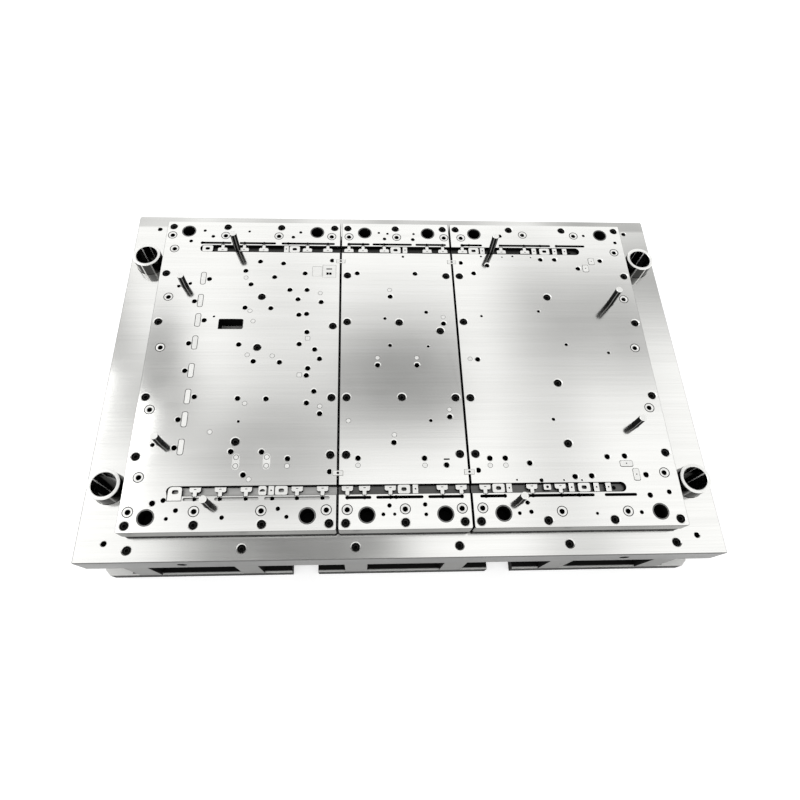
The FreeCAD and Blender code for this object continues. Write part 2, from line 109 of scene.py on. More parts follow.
INNER_BUSH = 26.0
INNER_BORE = 22.0
CLIP_HOLE = 4.4
PIN_HOLE = 12.1
PIN = 12.0
PIN_HEAD = 6.0
PIN_CHAMFER = 0.8
SPRING_POCKET = 19.0
SHOE_SCREW_INSET = 19.5
SHOE_HOLE = 9.0
SHOE_HOLES = [(x, y) for x in (-481, 481) for y in (-317, 315)]
PUNCH_HOLE = 9.0
PLUG = 8.0
PLUG_SEAT = PLUG + FIT_GAP
SEAT_CHAMFER = 0.2
# Length, width and corner radius of the plates that hold two plugs, and of their pockets.
TWIN_PLATE = (12, 27.5, 5.95)
TWIN_POCKET = (12.2, 27.7, 6.0)
TWIN_OFFSET = 7.5
TWIN_PLUG = 7.8
TWIN_SEAT = 8.6
BUSH_WALL = 6.0
LIFTING_HOLE = 14.0
LIFTING_DEPTH = 30.0
LIFTING_PLACE = 362.0
LIFTING_CHAMFER = 1.0

# ---- Heights, taken from the frame ----
PLATE_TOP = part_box("die_plate_left")[1].z / MM
PLATE_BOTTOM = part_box("die_plate_left")[0].z / MM
SHOE_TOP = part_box("die_shoe")[1].z / MM
SHOE_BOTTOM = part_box("die_shoe")[0].z / MM
CHANNEL_FLOOR = PLATE_TOP - CHANNEL_DEPTH
LAYER = CHANNEL_FLOOR - CHANNEL_FLOOR_THICKNESS
PLATES = ("left", "centre", "right")
SIDES = {"front": -1, "back": 1}
LIFTERS = "12345678"

# ---- Hole layout: along X from a plate's left end, along Y from the middle of its depth ----
SCREWS = {
    "left": [
        (11.5, -181.5), (11.5, -75), (11.5, 75), (11.5, 182), (325.5, -181), (325.5, -77), (325.5, 67),
        (169, -157), (192, 22), (193, 130),
    ],
    "centre": [
        (11.5, -181), (11.5, -77), (11.5, 76), (11.5, 180), (200.5, -181), (200.5, -78), (200.5, 180),
        (107, -77), (107, 75), (182, 57),
    ],
    "right": [
        (11.5, -181), (11.5, -78), (11.5, 77), (11.5, 180), (335.5, -181.5), (335.5, -75), (335.5, 75),
        (335.5, 182), (171, -164), (170, -50), (176, 132),
    ],
}
SCREW_ROWS = {"left": 4, "centre": 3, "right": 4}
SCREW_INSET = 11.5
DOWELS = {
    "left": [
        (14, -273), (115, -273), (219, -273), (321, -273), (12, 272), (114, 272), (217, 272),
        (320, 272), (22, -217), (22, -99), (23, 21), (23, 128), (20, 239),
    ],
    "centre": [
        (14, -273), (106, -273), (197, -273), (14, 272), (108, 272), (202, 272),
    ],
    "right": [
        (15, -273), (143, -280), (251, -281), (21, 272), (146, 281), (250, 280), (325, -217),
        (325, -99), (324, 21), (324, 128), (326, 239),
    ],
}
BUSH_COLUMNS = {"left": (42.5, 291.5), "centre": (45.0, 170.0), "right": (48.0, 304.5)}
BUSH_ROW = 282.0
PUNCHES = {
    "left": [
        (49, -259), (71, -167), (71, -117), (71, 119), (71, -25), (71, 30), (93, -75), (93, 169),
        (93, 78), (159, 28), (159, 189), (163, -174), (164, 106), (166, -78), (171, 158), (185, 211),
        (186, -214), (187, -6), (211, 105), (213, -175), (214, -79), (214, 175), (229, 207), (233, -8),
        (244, 146), (256, -187), (260, 125), (263, 91), (266, 29), (271, 184), (276, 146), (277, 93),
        (279, 54), (281, -34), (283, -20), (283, -87), (294, 18), (295, -65), (303, -1), (303, 119),
        (306, -107),
    ],
    "centre": [
        (31, -187), (141, -188), (177, -200), (91, -160), (188, -114), (66, -14), (136, -14), (92, 132),
        (30, 185), (141, 185), (189, 73),
    ],
    "right": [
        (31, -2), (35, -189), (61, -189), (101, -198), (234, -188), (264, -187), (294, -220),
        (174, -222), (202, -221), (40, 187), (247, 200), (294, 219), (68, 206), (175, 221), (203, 221),
    ],
}
SMALL_HOLES = {
    "left": [
        (74, -284, 6), (87, -271, 7.5), (159, -283, 7), (245, -270, 7), (259, -283, 6.5), (49, 258, 7),
        (73, 284, 6), (90, 270, 7), (159, 283, 5), (245, 270, 7), (259, 282, 6), (171, -121, 5),
        (110, 86, 4), (226, -233, 4), (39, 152, 6.5), (59, 158, 6.5), (36, -162, 7),
    ],
    "centre": [
        (71, -281, 6), (81, -267, 7), (89, -281, 5), (139, -282, 6), (138, -266, 7), (73, 283, 5),
        (84, 268, 7), (90, 281, 5), (140, 267, 7.5), (142, 281, 5), (155, -121, 6), (89, 26, 7),
        (158, 24, 5), (81, 83, 6), (158, 97, 7), (119, 224.7, 5),
    ],
    "right": [
        (74, -282, 6), (93, -280, 7), (200, -284, 5), (273, -283, 6.5), (293, -255, 9), (326, -250, 8),
        (100, 278, 8), (271, 281, 6), (333, 264, 7), (152, -120, 6), (273, 11, 6), (197, 28, 6),
        (46, 89, 5), (155, 100, 6), (76, -227, 3), (154, -228, 3), (184, -228.5, 3),
        (116.5, -228.2, 6.6), (88.5, -265, 7), (57.5, 227, 4), (99, 226, 3), (156, 225.5, 3),
        (120, 228, 4),
    ],
}
PLUGS = {
    "left": [
        (161, 172), (174, 98), (181, 76), (176, 6), (220, 4), (301, 138), (306, -94), (256, -200),
        (179, -88), (126, -140), (196, -222),
    ],
    "centre": [
        (91, 146), (66, 0), (136, 0), (92, -147), (188, -101), (31, -200), (141, -201), (15, -121),
        (189, 86),
    ],
    "right": [
        (17, -2), (34, -202), (60, -202),
    ],
}
SQUARE_PLUGS = {"left": [(281, 40), (269, -34)]}
TWIN_PLUGS = {"left": [(173, -192), (222.5, -192)]}
# The third number is the side that the joint is on.
HALF_HOLES = {"left": [(325, -210, 1), (322, 214, 1)], "right": [(13.5, -210, -1), (16, 211, -1)]}
# Place, length and width of the form window of the left plate and of a slot of the centre one.
WINDOW = (141.0, 70.5, 44.0, 21.5)
SMALL_SLOT = (177.5, -190.5, 10.0, 2.4)
INSERT_COLUMN = 82.0
# Punch holes nearer than this to the column of slot inserts have a narrower chamfer, clear of their pockets.
INSERT_REACH = 12
# Gap, chamfer and edge material of the pockets of the flush inserts.
POCKETS = {
    "slot_inserts": (INSERT_GAP, SEAT_CHAMFER, DARK_EDGE),
    "form_inserts": (FIT_GAP, SEAT_CHAMFER, EDGE),
    "corner_inserts": (0.1, 0.1, DARK_EDGE),
}
RELIEF_SLOTS = {
    "front": {
        "left": [(96.0, 127.0), (145.0, 214.0), (223.0, 326.0)],
        "centre": [(10.5, 52.5), (60.0, 136.0), (143.5, 200.5)],
        "right": [(12.5, 56.0), (87.0, 200.5), (217.0, 271.0)],
    },
    "back": {
        "left": [(67.0, 127.0), (142.0, 212.5), (223.0, 326.5)],
        "centre": [(10.5, 54.5), (60.0, 137.5), (144.5, 205.0)],
        "right": [(18.0, 62.0), (94.0, 199.0), (208.0, 268.5)],
    },
}
# Centres of the drilled holes along the relief slots that no key stem points to.
SLOT_HOLES = {
    "front": {"left": [235.0], "centre": [92.0], "right": [53.0, 91.0, 175.0]},
    "back": {"left": [71.0, 236.0], "centre": [], "right": [36.0, 98.5, 178.5, 211.5]},
}
# The first block of the front channel reaches out over the line of the relief slots: ends and reach.
END_BLOCK = (71.0, 93.5, 7.7)
END_HOLE = (65.9, 14.3, 8.0)
# Keys that stand in the channels and have no solid of their own in the frame: place, and sizes.
SQUARE_KEY = (124.5, 12.0, 9.5)
SMALL_BLOCK = (219.0, 13.0)
BACK_KEY = 152.0
# Angles of the painted highlight lines up the pins.
PIN_PAINTED_LINES = (242, 300)
# Painted highlight lines up the walls of the guide bushes, in place of reflections: wall, angle and tone.
# The angles are for the left bushes. The right ones are their mirror image.
BUSH_PAINTED_LINES = {
    "front": ((BORE, 156, PAINTED_GLEAM), (BORE, 108, PAINTED_FAINT_GLEAM), (SIDE, 250, PAINTED_GLEAM), (SIDE, 300, PAINTED_FAINT_GLEAM)),
    "back": ((BORE, 129, PAINTED_GLEAM), (BORE, 83, PAINTED_FAINT_GLEAM), (SIDE, 258, PAINTED_GLEAM), (SIDE, 296, PAINTED_FAINT_GLEAM)),
}


# ---- Outlines: closed loops of points, anticlockwise, in millimetres ----
def circle(x, y, radius, points=28, turn=0.0):
    """Round loop."""
    turns = [turn + 2 * math.pi * i / points for i in range(points)]
    return [(x + radius * math.cos(angle), y + radius * math.sin(angle)) for angle in turns]


def arc(x, y, radius, start, stop, steps):
    """Points along part of a circle, both ends included, with the angles in degrees."""
    turns = [math.radians(start + (stop - start) * i / steps) for i in range(steps + 1)]
    return [(x + radius * math.cos(angle), y + radius * math.sin(angle)) for angle in turns]


def rounded(x, y, length, width, radius, steps=4):
    """Rectangle about (x, y) with rounded corners."""
    corners = ((1, -1, -90), (1, 1, 0), (-1, 1, 90), (-1, -1, 180))
    loop = []
    for right, up, start in corners:
        cx = x + right * (length / 2 - radius)
        cy = y + up * (width / 2 - radius)
        loop += arc(cx, cy, radius, start, start + 90, steps)
    return loop


def grown(loop, distance):
    """The loop moved outward by the distance, or inward where it is negative."""
    if distance == 0:
        return loop
    moved = []
    for i, point in enumerate(loop):
        before = Vector(point) - Vector(loop[i - 1])
        after = Vector(loop[(i + 1) % len(loop)]) - Vector(point)
        first = Vector((before.y, -before.x)).normalized()
        second = Vector((after.y, -after.x)).normalized()
        way = (first + second) / (1 + first.dot(second))
        moved.append((point[0] + way.x * distance, point[1] + way.y * distance))
    return moved


# ---- Building pieces ----
def ring(mesh, loop, height):
    """Vertices of a loop at a height."""
    return [mesh.verts.new((x * MM, y * MM, height * MM)) for x, y in loop]


def band(mesh, upper, lower, index):
    """Faces between two rings of the same number of points."""
    count = len(upper)
    faces = []
    for i in range(count):
        j = (i + 1) % count
        face = mesh.faces.new((upper[i], lower[i], lower[j], upper[j]))
        face.material_index = index
        faces.append(face)
    return faces


def cap(mesh, rings, index):
    """Flat face inside the first ring and outside the others."""
    verts = [vert for ring_verts in rings for vert in ring_verts]
    for corners in geometry.tessellate_polygon([[vert.co for vert in verts] for verts in rings]):
        face = mesh.faces.new([verts[corner] for corner in corners])
        face.material_index = index


def darken(mesh, ends, inner_ends, front, back, clips):
    """Paints shade: makes channel walls and the rims of plate ends near black, and the rims at clips bright.
    """
    for face in mesh.faces:
        face.normal_update()
        if face.material_index != SIDE or abs(face.normal.z) > 0.9:
            continue
        middle = face.calc_center_median() / MM
        sloped = face.normal.z > 0.2
        within = ends[0] < middle.x < ends[1] and front < middle.y < back
        if within or (sloped and abs(face.normal.x) > 0.5):
            face.material_index = BORE
        at_clip = any(start - 2 < middle.y < stop + 2 for start, stop in clips)
        if sloped and at_clip and not inner_ends[0] < middle.x < inner_ends[1]:
            face.material_index = EDGE


def add_slab(mesh, outline, cuts, low, high, chamfer=CHAMFER, edge=EDGE, top_index=TOP):
    """Flat plate between two heights, bored by each cut: (loop, chamfer, edge material)."""
    upper = []
    lower = []
    for number, (loop, bevel, rim_index) in enumerate([(outline, chamfer, edge)] + list(cuts)):
        top = ring(mesh, grown(loop, bevel if number else -bevel), high)
        rim = top
        if bevel:
            rim = ring(mesh, loop, high - bevel)
            band(mesh, top, rim, rim_index)
        foot = ring(mesh, loop, low)
        # Walls of the cuts take the bore material, like the bottom cap: painted shade in the holes. Outer
        # walls take the side material.
        band(mesh, rim, foot, BORE if number else SIDE)
        upper.append(top)
        lower.append(foot)
    cap(mesh, upper, top_index)
    cap(mesh, lower, BORE)


def add_turned(mesh, x, y, profile, points, lines=()):
    """Turned shape: profile is a closed chain of (radius, height, material). Lines of another material, such
    as painted highlights, run up its walls.
    """
    rings = [ring(mesh, circle(x, y, radius, points), height) for radius, height, _ in profile]
    for i, (_, _, index) in enumerate(profile):
        faces = band(mesh, rings[i], rings[(i + 1) % len(profile)], index)
        for wall, turn, tone in lines:
            if wall == index:
                faces[int(turn % 360 / 360 * points)].material_index = tone


def link(name, data):
    """New object in the scene."""
    obj = bpy.data.objects.new(name, data)
    bpy.context.scene.collection.objects.link(obj)
    return obj


def mesh_object(name, mesh, materials):
    """Object in the scene from a mesh and its materials."""
    data = bpy.data.meshes.new(name)
    mesh.to_mesh(data)
    mesh.free()
    for material in materials:
        data.materials.append(material)
    return link(name, data)


def piece(name, mesh, materials, body="base", replaces=()):
    """Finished object from a mesh, riding on its body."""
    bmesh.ops.recalc_face_normals(mesh, faces=mesh.faces)
    obj = mesh_object(name, mesh, materials)
    obj.data.shade_smooth()
    obj.data.set_sharp_from_angle(angle=math.radians(30))
    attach(obj, body)
    if replaces:
        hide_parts(*replaces)
    return obj


def box_mm(node):
    """Low and high corner of a CAD node, in millimetres."""
    low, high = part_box(node)
    return low / MM, high / MM


def centre(low, high):
    """Middle of a box, seen from above."""
    return (low.x + high.x) / 2, (low.y + high.y) / 2


def box_outline(low, high, radius):
    """Rectangle of a box, seen from above, with rounded corners."""
    return rounded(*centre(low, high), high.x - low.x, high.y - low.y, radius)


def solids(node):
    """Low and high corner of each separate solid of a CAD node, in millimetres, along X."""
    mesh = bmesh.new()
    mesh.from_mesh(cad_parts[node].data)
    bmesh.ops.remove_doubles(mesh, verts=mesh.verts, dist=1e-6)
    left = set(mesh.verts)
    found = []
    while left:
        stack = [left.pop()]
        group = []
        while stack:
            vert = stack.pop()
            group.append(vert.co.copy())
            for other in [edge.other_vert(vert) for edge in vert.link_edges]:
                if other in left:
                    left.remove(other)
                    stack.append(other)
        low = Vector([min(co[i] for co in group) / MM for i in range(3)])
        high = Vector([max(co[i] for co in group) / MM for i in range(3)])
        found.append((low, high))
    mesh.free()
    return sorted(found, key=lambda pair: pair[0].x)


def bore(x, y, diameter, chamfer=CHAMFER, edge=EDGE):
    """Round cut for add_slab."""
    points = 20 if diameter < 8 else 28 if diameter < 25 else 48
    return (circle(x, y, diameter / 2, points), chamfer, edge)


# ---- Materials ----
def node_tree(name):
    """New node material, its tree and its shader."""
    material = bpy.data.materials.new(name)
    material.use_nodes = True
    tree = material.node_tree
    shader = tree.nodes["Principled BSDF"]
    return material, tree, shader


def add_node(tree, kind, links=(), **values):
    """Node with some of its values set and its inputs linked."""
    node = tree.nodes.new(kind)
    for key, value in values.items():
        setattr(node, key, value)
    for socket, source in links:
        if isinstance(source, (int, float, tuple)):
            node.inputs[socket].default_value = source
        else:
            tree.links.new(source, node.inputs[socket])
    return node


def maths(tree, kind, first, second=0.0):
    """Result of one sum of a node tree."""
    return add_node(tree, "ShaderNodeMath", [(0, first), (1, second)], operation=kind).outputs[0]


def vector(tree, kind, *sources, result="Vector"):
    """Result of one sum of vectors of a node tree."""
    return add_node(tree, "ShaderNodeVectorMath", enumerate(sources), operation=kind).outputs[result]


def ramp(tree, source, start, stop, low, high):
    """The source's start to stop spread over low to high."""
    names = ("Value", "From Min", "From Max", "To Min", "To Max")
    values = (source, start, stop, low, high)
    return add_node(tree, "ShaderNodeMapRange", zip(names, values)).outputs["Result"]


def noise(tree, scale, detail=3.0, rough=0.5):
    """Noise in object space, with its own scale along each axis, in features per metre."""
    place = tree.nodes.get("Texture Coordinate") or tree.nodes.new("ShaderNodeTexCoord")
    mapping = add_node(tree, "ShaderNodeMapping", [("Vector", place.outputs["Object"]), ("Scale", scale)])
    values = (mapping.outputs["Vector"], 1.0, detail, rough)
    links = zip(("Vector", "Scale", "Detail", "Roughness"), values)
    return add_node(tree, "ShaderNodeTexNoise", links).outputs["Fac"]


def levels(tree, source, low, high):
    """The main span of a noise spread over low to high."""
    return ramp(tree, source, 0.3, 0.7, low, high)


def crowned(tree, tilt, crown):
    """Normal of a ground face that leans a little, and curves a little along X and Y."""
    place = tree.nodes["Texture Coordinate"].outputs["Object"]
    normal = tree.nodes.new("ShaderNodeNewGeometry").outputs["Normal"]
    bend = vector(tree, "MULTIPLY_ADD", place, crown, tilt)
    return vector(tree, "NORMALIZE", vector(tree, "ADD", normal, bend))


def grey(value):
    """Very slightly warm grey, linear."""
    return (value, value, value * 0.975)


def facing_tone(tree, faces):
    """Painted shade of a surface by the axis it faces: X, Y or Z."""
    normal = tree.nodes["Texture Coordinate"].outputs["Normal"]
    return vector(tree, "DOT_PRODUCT", vector(tree, "ABSOLUTE", normal), faces, result="Value")


def rim_tone(tree, reach, deep):
    """Painted shade: one near a plate's rim, falling to the deep tone further in than the reach along X and
    Y.
    """
    point = tree.nodes["Texture Coordinate"].outputs["Object"]
    part = add_node(tree, "ShaderNodeSeparateXYZ", [(0, vector(tree, "ABSOLUTE", point))])
    tones = []
    for axis, place_mm in zip("XY", reach):
        tones.append(ramp(tree, part.outputs[axis], (place_mm - 1) * MM, (place_mm + 1) * MM, deep, 1.0))
    return maths(tree, "MAXIMUM", *tones)


def back_tone(tree, start, deep):
    """Painted shade in place of a darker reflection: one, falling to a deep and cloudy tone behind a line
    along X.
    """
    point = tree.nodes["Texture Coordinate"].outputs["Object"]
    part = add_node(tree, "ShaderNodeSeparateXYZ", [(0, point)])
    cloudy = levels(tree, noise(tree, (6.0, 1.0, 1.0), 1.0), deep * 0.7, deep * 1.3)
    return ramp(tree, part.outputs["Y"], (start - 3) * MM, (start + 3) * MM, 1.0, cloudy)


def steel(name, shade, roughness, grain=(3.0, 650.0, 3.0), streak=0.03, metallic=1.0, specular=0.5,
          faces=None, rim=None, back=None, tilt=(0.0, 0.0, 0.0), crown=(0.0, 0.0, 0.0)):
    """Ground steel: fine lines along X, soft clouds and small wear in its gloss, and painted shade by the
    axis a face points along and by place.
    """
    material, tree, shader = node_tree(name)
    lines = noise(tree, grain, 4.0, 0.65)
    broad = noise(tree, (grain[0], grain[1] / 8, grain[2]), 2.0, 0.6)
    clouds = noise(tree, (9.0, 9.0, 9.0), 2.0)
    tones = [levels(tree, source, 1.0 - streak, 1.0 + streak) for source in (lines, broad)]
    tones += [facing_tone(tree, faces)] if faces else []
    tones += [rim_tone(tree, *rim)] if rim else []
    tones += [back_tone(tree, *back)] if back else []
    mixed = tones[0]
    for tone in tones[1:]:
        mixed = maths(tree, "MULTIPLY", mixed, tone)
    tint = add_node(tree, "ShaderNodeVectorMath", [(0, tuple(shade)), (3, mixed)], operation="SCALE")
    tree.links.new(tint.outputs["Vector"], shader.inputs["Base Color"])
    gloss = levels(tree, clouds, roughness * 0.85, roughness * 1.15)
    tree.links.new(gloss, shader.inputs["Roughness"])
    relief = add_node(tree, "ShaderNodeBump", [("Height", lines), ("Strength", 0.03), ("Distance", 0.0004)])
    if any(tilt) or any(crown):
        tree.links.new(crowned(tree, tilt, crown), relief.inputs["Normal"])
    tree.links.new(relief.outputs["Normal"], shader.inputs["Normal"])
    shader.inputs["Metallic"].default_value = metallic
    shader.inputs["Specular IOR Level"].default_value = specular
    return material


def black(name, shade, grain=(30.0, 30.0, 200.0)):
    """Near-black steel that gives back almost nothing: painted shade, or a blackened finish."""
    return steel(name, grey(shade), 0.5, grain, streak=0.2, metallic=0.0, specular=0.02)


PLATE_TILTS = {"left": (-0.05, 0.0, 0.0), "centre": (0.0, 0.0001, 0.0), "right": (0.05, 0.0, 0.0)}
PLATE_FACE = {
    name: steel("plate_face_" + name, grey(0.97), 0.13, tilt=tilt)
    for name, tilt in PLATE_TILTS.items()
}
# The shoe's strip behind the plates gets a painted darker reflection.
SHOE_FACE = steel("shoe_face", grey(0.97), 0.13, tilt=(0.0, -0.04, 0.0), crown=(0.0, 0.06, 0.0),
                  back=(321.0, 0.72))
UPRIGHT_GRAIN = (5.0, 5.0, 300.0)
# Painted shade: the clamp plate's sides are near black, and so is its top under the shoe, bright only at the
# rims.
CLAMP_STEEL = steel("clamp_steel", grey(0.9), 0.5, UPRIGHT_GRAIN, metallic=0.0, specular=0.1,
                    faces=(0.02, 0.02, 1.0), rim=((477.0, 344.5), 0.01))
# Painted shade: the parallels' ends are near black and their front and back faces darker than their tops.
PARALLEL_STEEL = steel("parallel_steel", grey(0.9), 0.5, UPRIGHT_GRAIN, metallic=0.0, specular=0.1,
                       faces=(0.01, 0.38, 0.5))
# Dark grey of upright faces: a painted shade copy of the ground steel.
SHADED_SIDE_STEEL = steel("side_painted_shade", grey(0.18), 0.3, (5.0, 5.0, 260.0))
EDGE_STEEL = steel("edge_steel", grey(0.98), 0.35, streak=0.01)
# Near black of bores, channel walls and floors in gaps: painted shade.
BORE_SHADE_STEEL = black("bore_painted_shade", 0.006)
# Near black of the chamfers around fitted pieces: painted shade in their gaps.
GROOVE_SHADE_STEEL = black("groove_painted_shade", 0.012)
# The backing plates, near black: painted shade under the die plates.
BACKING_SHADE_STEEL = black("backing_steel", 0.008, (3.0, 3.0, 300.0))
KEY_STEEL = steel("key_steel", grey(0.97), 0.35, (60.0, 300.0, 60.0), streak=0.02, metallic=0.8)
# Tones of the channel floors, plate by plate: painted shade and painted reflection.
CHANNEL_PAINTED_SHADES = {
    "front": {"left": 0.42, "centre": 0.12, "right": 0.14},
    "back": dict.fromkeys(PLATES, 0.05),
}
WINDOW_FACE = steel("window_face", grey(0.3), 0.4, (3.0, 300.0, 3.0), streak=0.15, metallic=0.0)
FLOOR_RELIEF = steel("relief_floor", grey(0.6), 0.4, streak=0.1)
SCREW_STEEL = black("black_oxide_screw", 0.005, (90.0, 90.0, 90.0))
# Lighter grey of the screws' chamfers: a painted highlight.
SCREW_RIM_HIGHLIGHT = steel("screw_rim_painted_highlight", grey(0.05), 0.4, (90.0, 90.0, 90.0), metallic=0.0, specular=0.2)
EVEN_GRAIN = (60.0, 60.0, 60.0)
BUSH_STEEL = steel("bush_steel", grey(0.05), 0.12, (40.0, 40.0, 6.0), streak=0.1)
# Bright and faint painted highlights up the bush walls.
BUSH_PAINTED_GLEAM = steel("bush_painted_gleam", grey(0.95), 0.4, EVEN_GRAIN, metallic=0.0)
BUSH_PAINTED_FAINT_GLEAM = steel("bush_painted_faint_gleam", grey(0.35), 0.4, EVEN_GRAIN, metallic=0.0)
BUSH_FACE = steel("bush_face", grey(0.97), 0.35, EVEN_GRAIN, metallic=0.8)
SLEEVE_FACE = steel("sleeve_face", grey(0.45), 0.4, EVEN_GRAIN, metallic=0.6)
PIN_STEEL = black("pin_steel", 0.008, (80.0, 80.0, 10.0))
# Painted highlight lines up the dark pin bodies.
PIN_PAINTED_GLEAM = steel("pin_painted_gleam", grey(0.22), 0.4, (80.0, 80.0, 10.0), streak=0.15, metallic=0.0)
SPRING = steel("spring_urethane", (0.5, 0.06, 0.03), 0.5, EVEN_GRAIN, metallic=0.0)


def material_set(top, edge=EDGE_STEEL, side=SHADED_SIDE_STEEL):
    """Materials of a slab's faces, in the order of their indices."""
    return [top, edge, side, BORE_SHADE_STEEL, GROOVE_SHADE_STEEL]


SCREW_SET = [SCREW_STEEL, SCREW_RIM_HIGHLIGHT] + [SCREW_STEEL] * 3
# Key steel pieces: their upright walls take the near-black bore material, painted shade.
KEY_SET = material_set(KEY_STEEL, KEY_STEEL, BORE_SHADE_STEEL)


# ---- Die plates ----
def plate_box(name):
    """Left end, right end, front and back of a die plate, in millimetres."""
    low, high = box_mm("die_plate_" + name)
    return low.x, high.x, low.y, high.y


def place(name, x, y):
    """Point on a plate from its left end and the middle of its depth."""
    left, _, front, back = plate_box(name)
    return left + x, (front + back) / 2 + y


def places(name, table):
    """Points of a table on a plate."""
    return [place(name, x, y) for x, y in table.get(name, [])]


def channel_line(side):
    """Middle line of a strip guide channel."""
    _, _, front, back = plate_box("left")
    return back - CHANNEL_EDGE_INSET if side == "back" else front + CHANNEL_EDGE_INSET


def screw_places(name):
    """All screws of a plate: its two rows and the others."""
    left, right, front, back = plate_box(name)
    count = SCREW_ROWS[name]
    pitch = (right - left - 2 * SCREW_INSET) / (count - 1)
    columns = [left + SCREW_INSET + pitch * i for i in range(count)]
    rows = [(x, y) for x in columns for y in (front + SCREW_INSET, back - SCREW_INSET)]
    return rows + places(name, SCREWS)


def bush_places(name):
    """Inner guide bushes of a plate."""
    return [place(name, x, side * BUSH_ROW) for x in BUSH_COLUMNS[name] for side in SIDES.values()]


def half_hole(x, y, side):
    """Round hole with a flat towards the joint between the plates."""
    start = 50 if side > 0 else -130
    return arc(x, y, PUNCH_HOLE / 2, start, start + 260, 18)


def lifter_places(name):
    """Axes of the lifter pins that pass through a plate."""
    left, right, _, _ = plate_box(name)
    found = [centre(*box_mm("lifter_pin_" + number)) for number in LIFTERS]
    return [(x, y) for x, y in found if left < x < right]


def round_cuts(name, with_channel_pins):
    """All round, square and flat-sided cuts of a plate."""
    cuts = [bore(x, y, SCREW_SEAT, WIDE_CHAMFER) for x, y in screw_places(name)]
    cuts += [bore(x, y, DOWEL_SEAT, FINE_CHAMFER, DARK_EDGE) for x, y in places(name, DOWELS)]
    cuts += [bore(x, y, INNER_BUSH + 2 * FIT_GAP, FINE_CHAMFER, DARK_EDGE) for x, y in bush_places(name)]
    if name == "left":
        x, offset, size = END_HOLE
        cuts.append(bore(plate_box(name)[0] + x, channel_line("front") - offset, size, 0.3))
    for x, y in PUNCHES[name]:
        near_insert = name == "left" and abs(x - INSERT_COLUMN) < INSERT_REACH
        cuts.append(bore(*place(name, x, y), PUNCH_HOLE, CHAMFER if near_insert else WIDE_CHAMFER))
    cuts += [bore(*place(name, x, y), size, CHAMFER / 2) for x, y, size in SMALL_HOLES[name]]
    cuts += [bore(x, y, PLUG_SEAT, SEAT_CHAMFER, DARK_EDGE) for x, y in places(name, PLUGS)]
    for x, y in places(name, SQUARE_PLUGS):
        cuts.append((rounded(x, y, PLUG_SEAT, PLUG_SEAT, 1.0), SEAT_CHAMFER, DARK_EDGE))
    cuts += [(rounded(x, y, *TWIN_POCKET), SEAT_CHAMFER, EDGE) for x, y in places(name, TWIN_PLUGS)]
    for x, y, side in HALF_HOLES.get(name, []):
        cuts.append((half_hole(*place(name, x, y), side), CHAMFER / 2, EDGE))
    for x, y in lifter_places(name):
        in_channel = abs(y - channel_line("back")) < CHANNEL_WIDTH / 2
        if with_channel_pins or not in_channel:
            cuts.append(bore(x, y, PIN_HOLE, 0.0 if in_channel else CHAMFER / 2))
    return cuts


def pocket_cuts(name):
    """Pockets for flush inserts, the left plate's form window and the centre plate's small slot."""
    cuts = []
    left, right, _, _ = plate_box(name)
    for node in POCKETS:
        cuts += [insert_pocket(node, low, high) for low, high in solids(node) if left < low.x < right]
    if name == "left":
        cuts.append((rounded(*place(name, *WINDOW[:2]), *WINDOW[2:], 2.5), CHAMFER, EDGE))
    if name == "centre":
        cuts.append((rounded(*place(name, *SMALL_SLOT[:2]), *SMALL_SLOT[2:], 1.1), 0.3, EDGE))
    return cuts


def insert_outline(node, low, high):
    """Outline of one flush insert of a CAD node."""
    radius = {"slot_inserts": (high.x - low.x) * 0.35, "form_inserts": 1.0, "corner_inserts": 2.5}[node]
    return box_outline(low, high, radius)


def insert_pocket(node, low, high):
    """Pocket of one flush insert. That of a small insert has more room to the left and in front."""
    if node == "corner_inserts":
        low = low - Vector((SMALL_INSERT_GAP, SMALL_INSERT_GAP, 0))
    gap, chamfer, edge = POCKETS[node]
    return (grown(insert_outline(node, low, high), gap), chamfer, edge)


def insert_cuts(node, low, high):
    """Slits and holes in the top of a flush insert."""
    x, y = centre(low, high)
    if node == "corner_inserts":
        return [bore(x, y, CORNER_INSERT_HOLE, 0.0)]
    if node == "form_inserts" and high.x - low.x > TRIM_INSERT_FROM:
        slits = [rounded(x - 0.5, y + 5.5, 11.0, 2.4, 0.8)]
        slits += [rounded(x + way * 2.7 - 0.7, y - 5.3, 4.8, 5.6, 1.2) for way in (-1, 1)]
        return [(slit, 0.0, DARK_EDGE) for slit in slits]
    return []


def stems(name, side):
    """Places along X of the key stems that point from a channel of one plate to its relief slots."""
    low_x, high_x, _, _ = plate_box(name)
    found = [(low.x + high.x) / 2 for low, high in solids("t_keys_" + side)]
    if side == "back":
        found.append(plate_box("left")[0] + BACK_KEY)
    return sorted(x for x in found if low_x < x < high_x)


def slot_holes(name, side, start, stop):
    """Drilled holes on one relief slot, along X."""
    left = plate_box(name)[0]
    found = stems(name, side) + [left + x for x in SLOT_HOLES[side][name]]
    reach = STEM_HOLE / 2 - 2
    return sorted(x for x in found if left + start + reach < x < left + stop - reach)


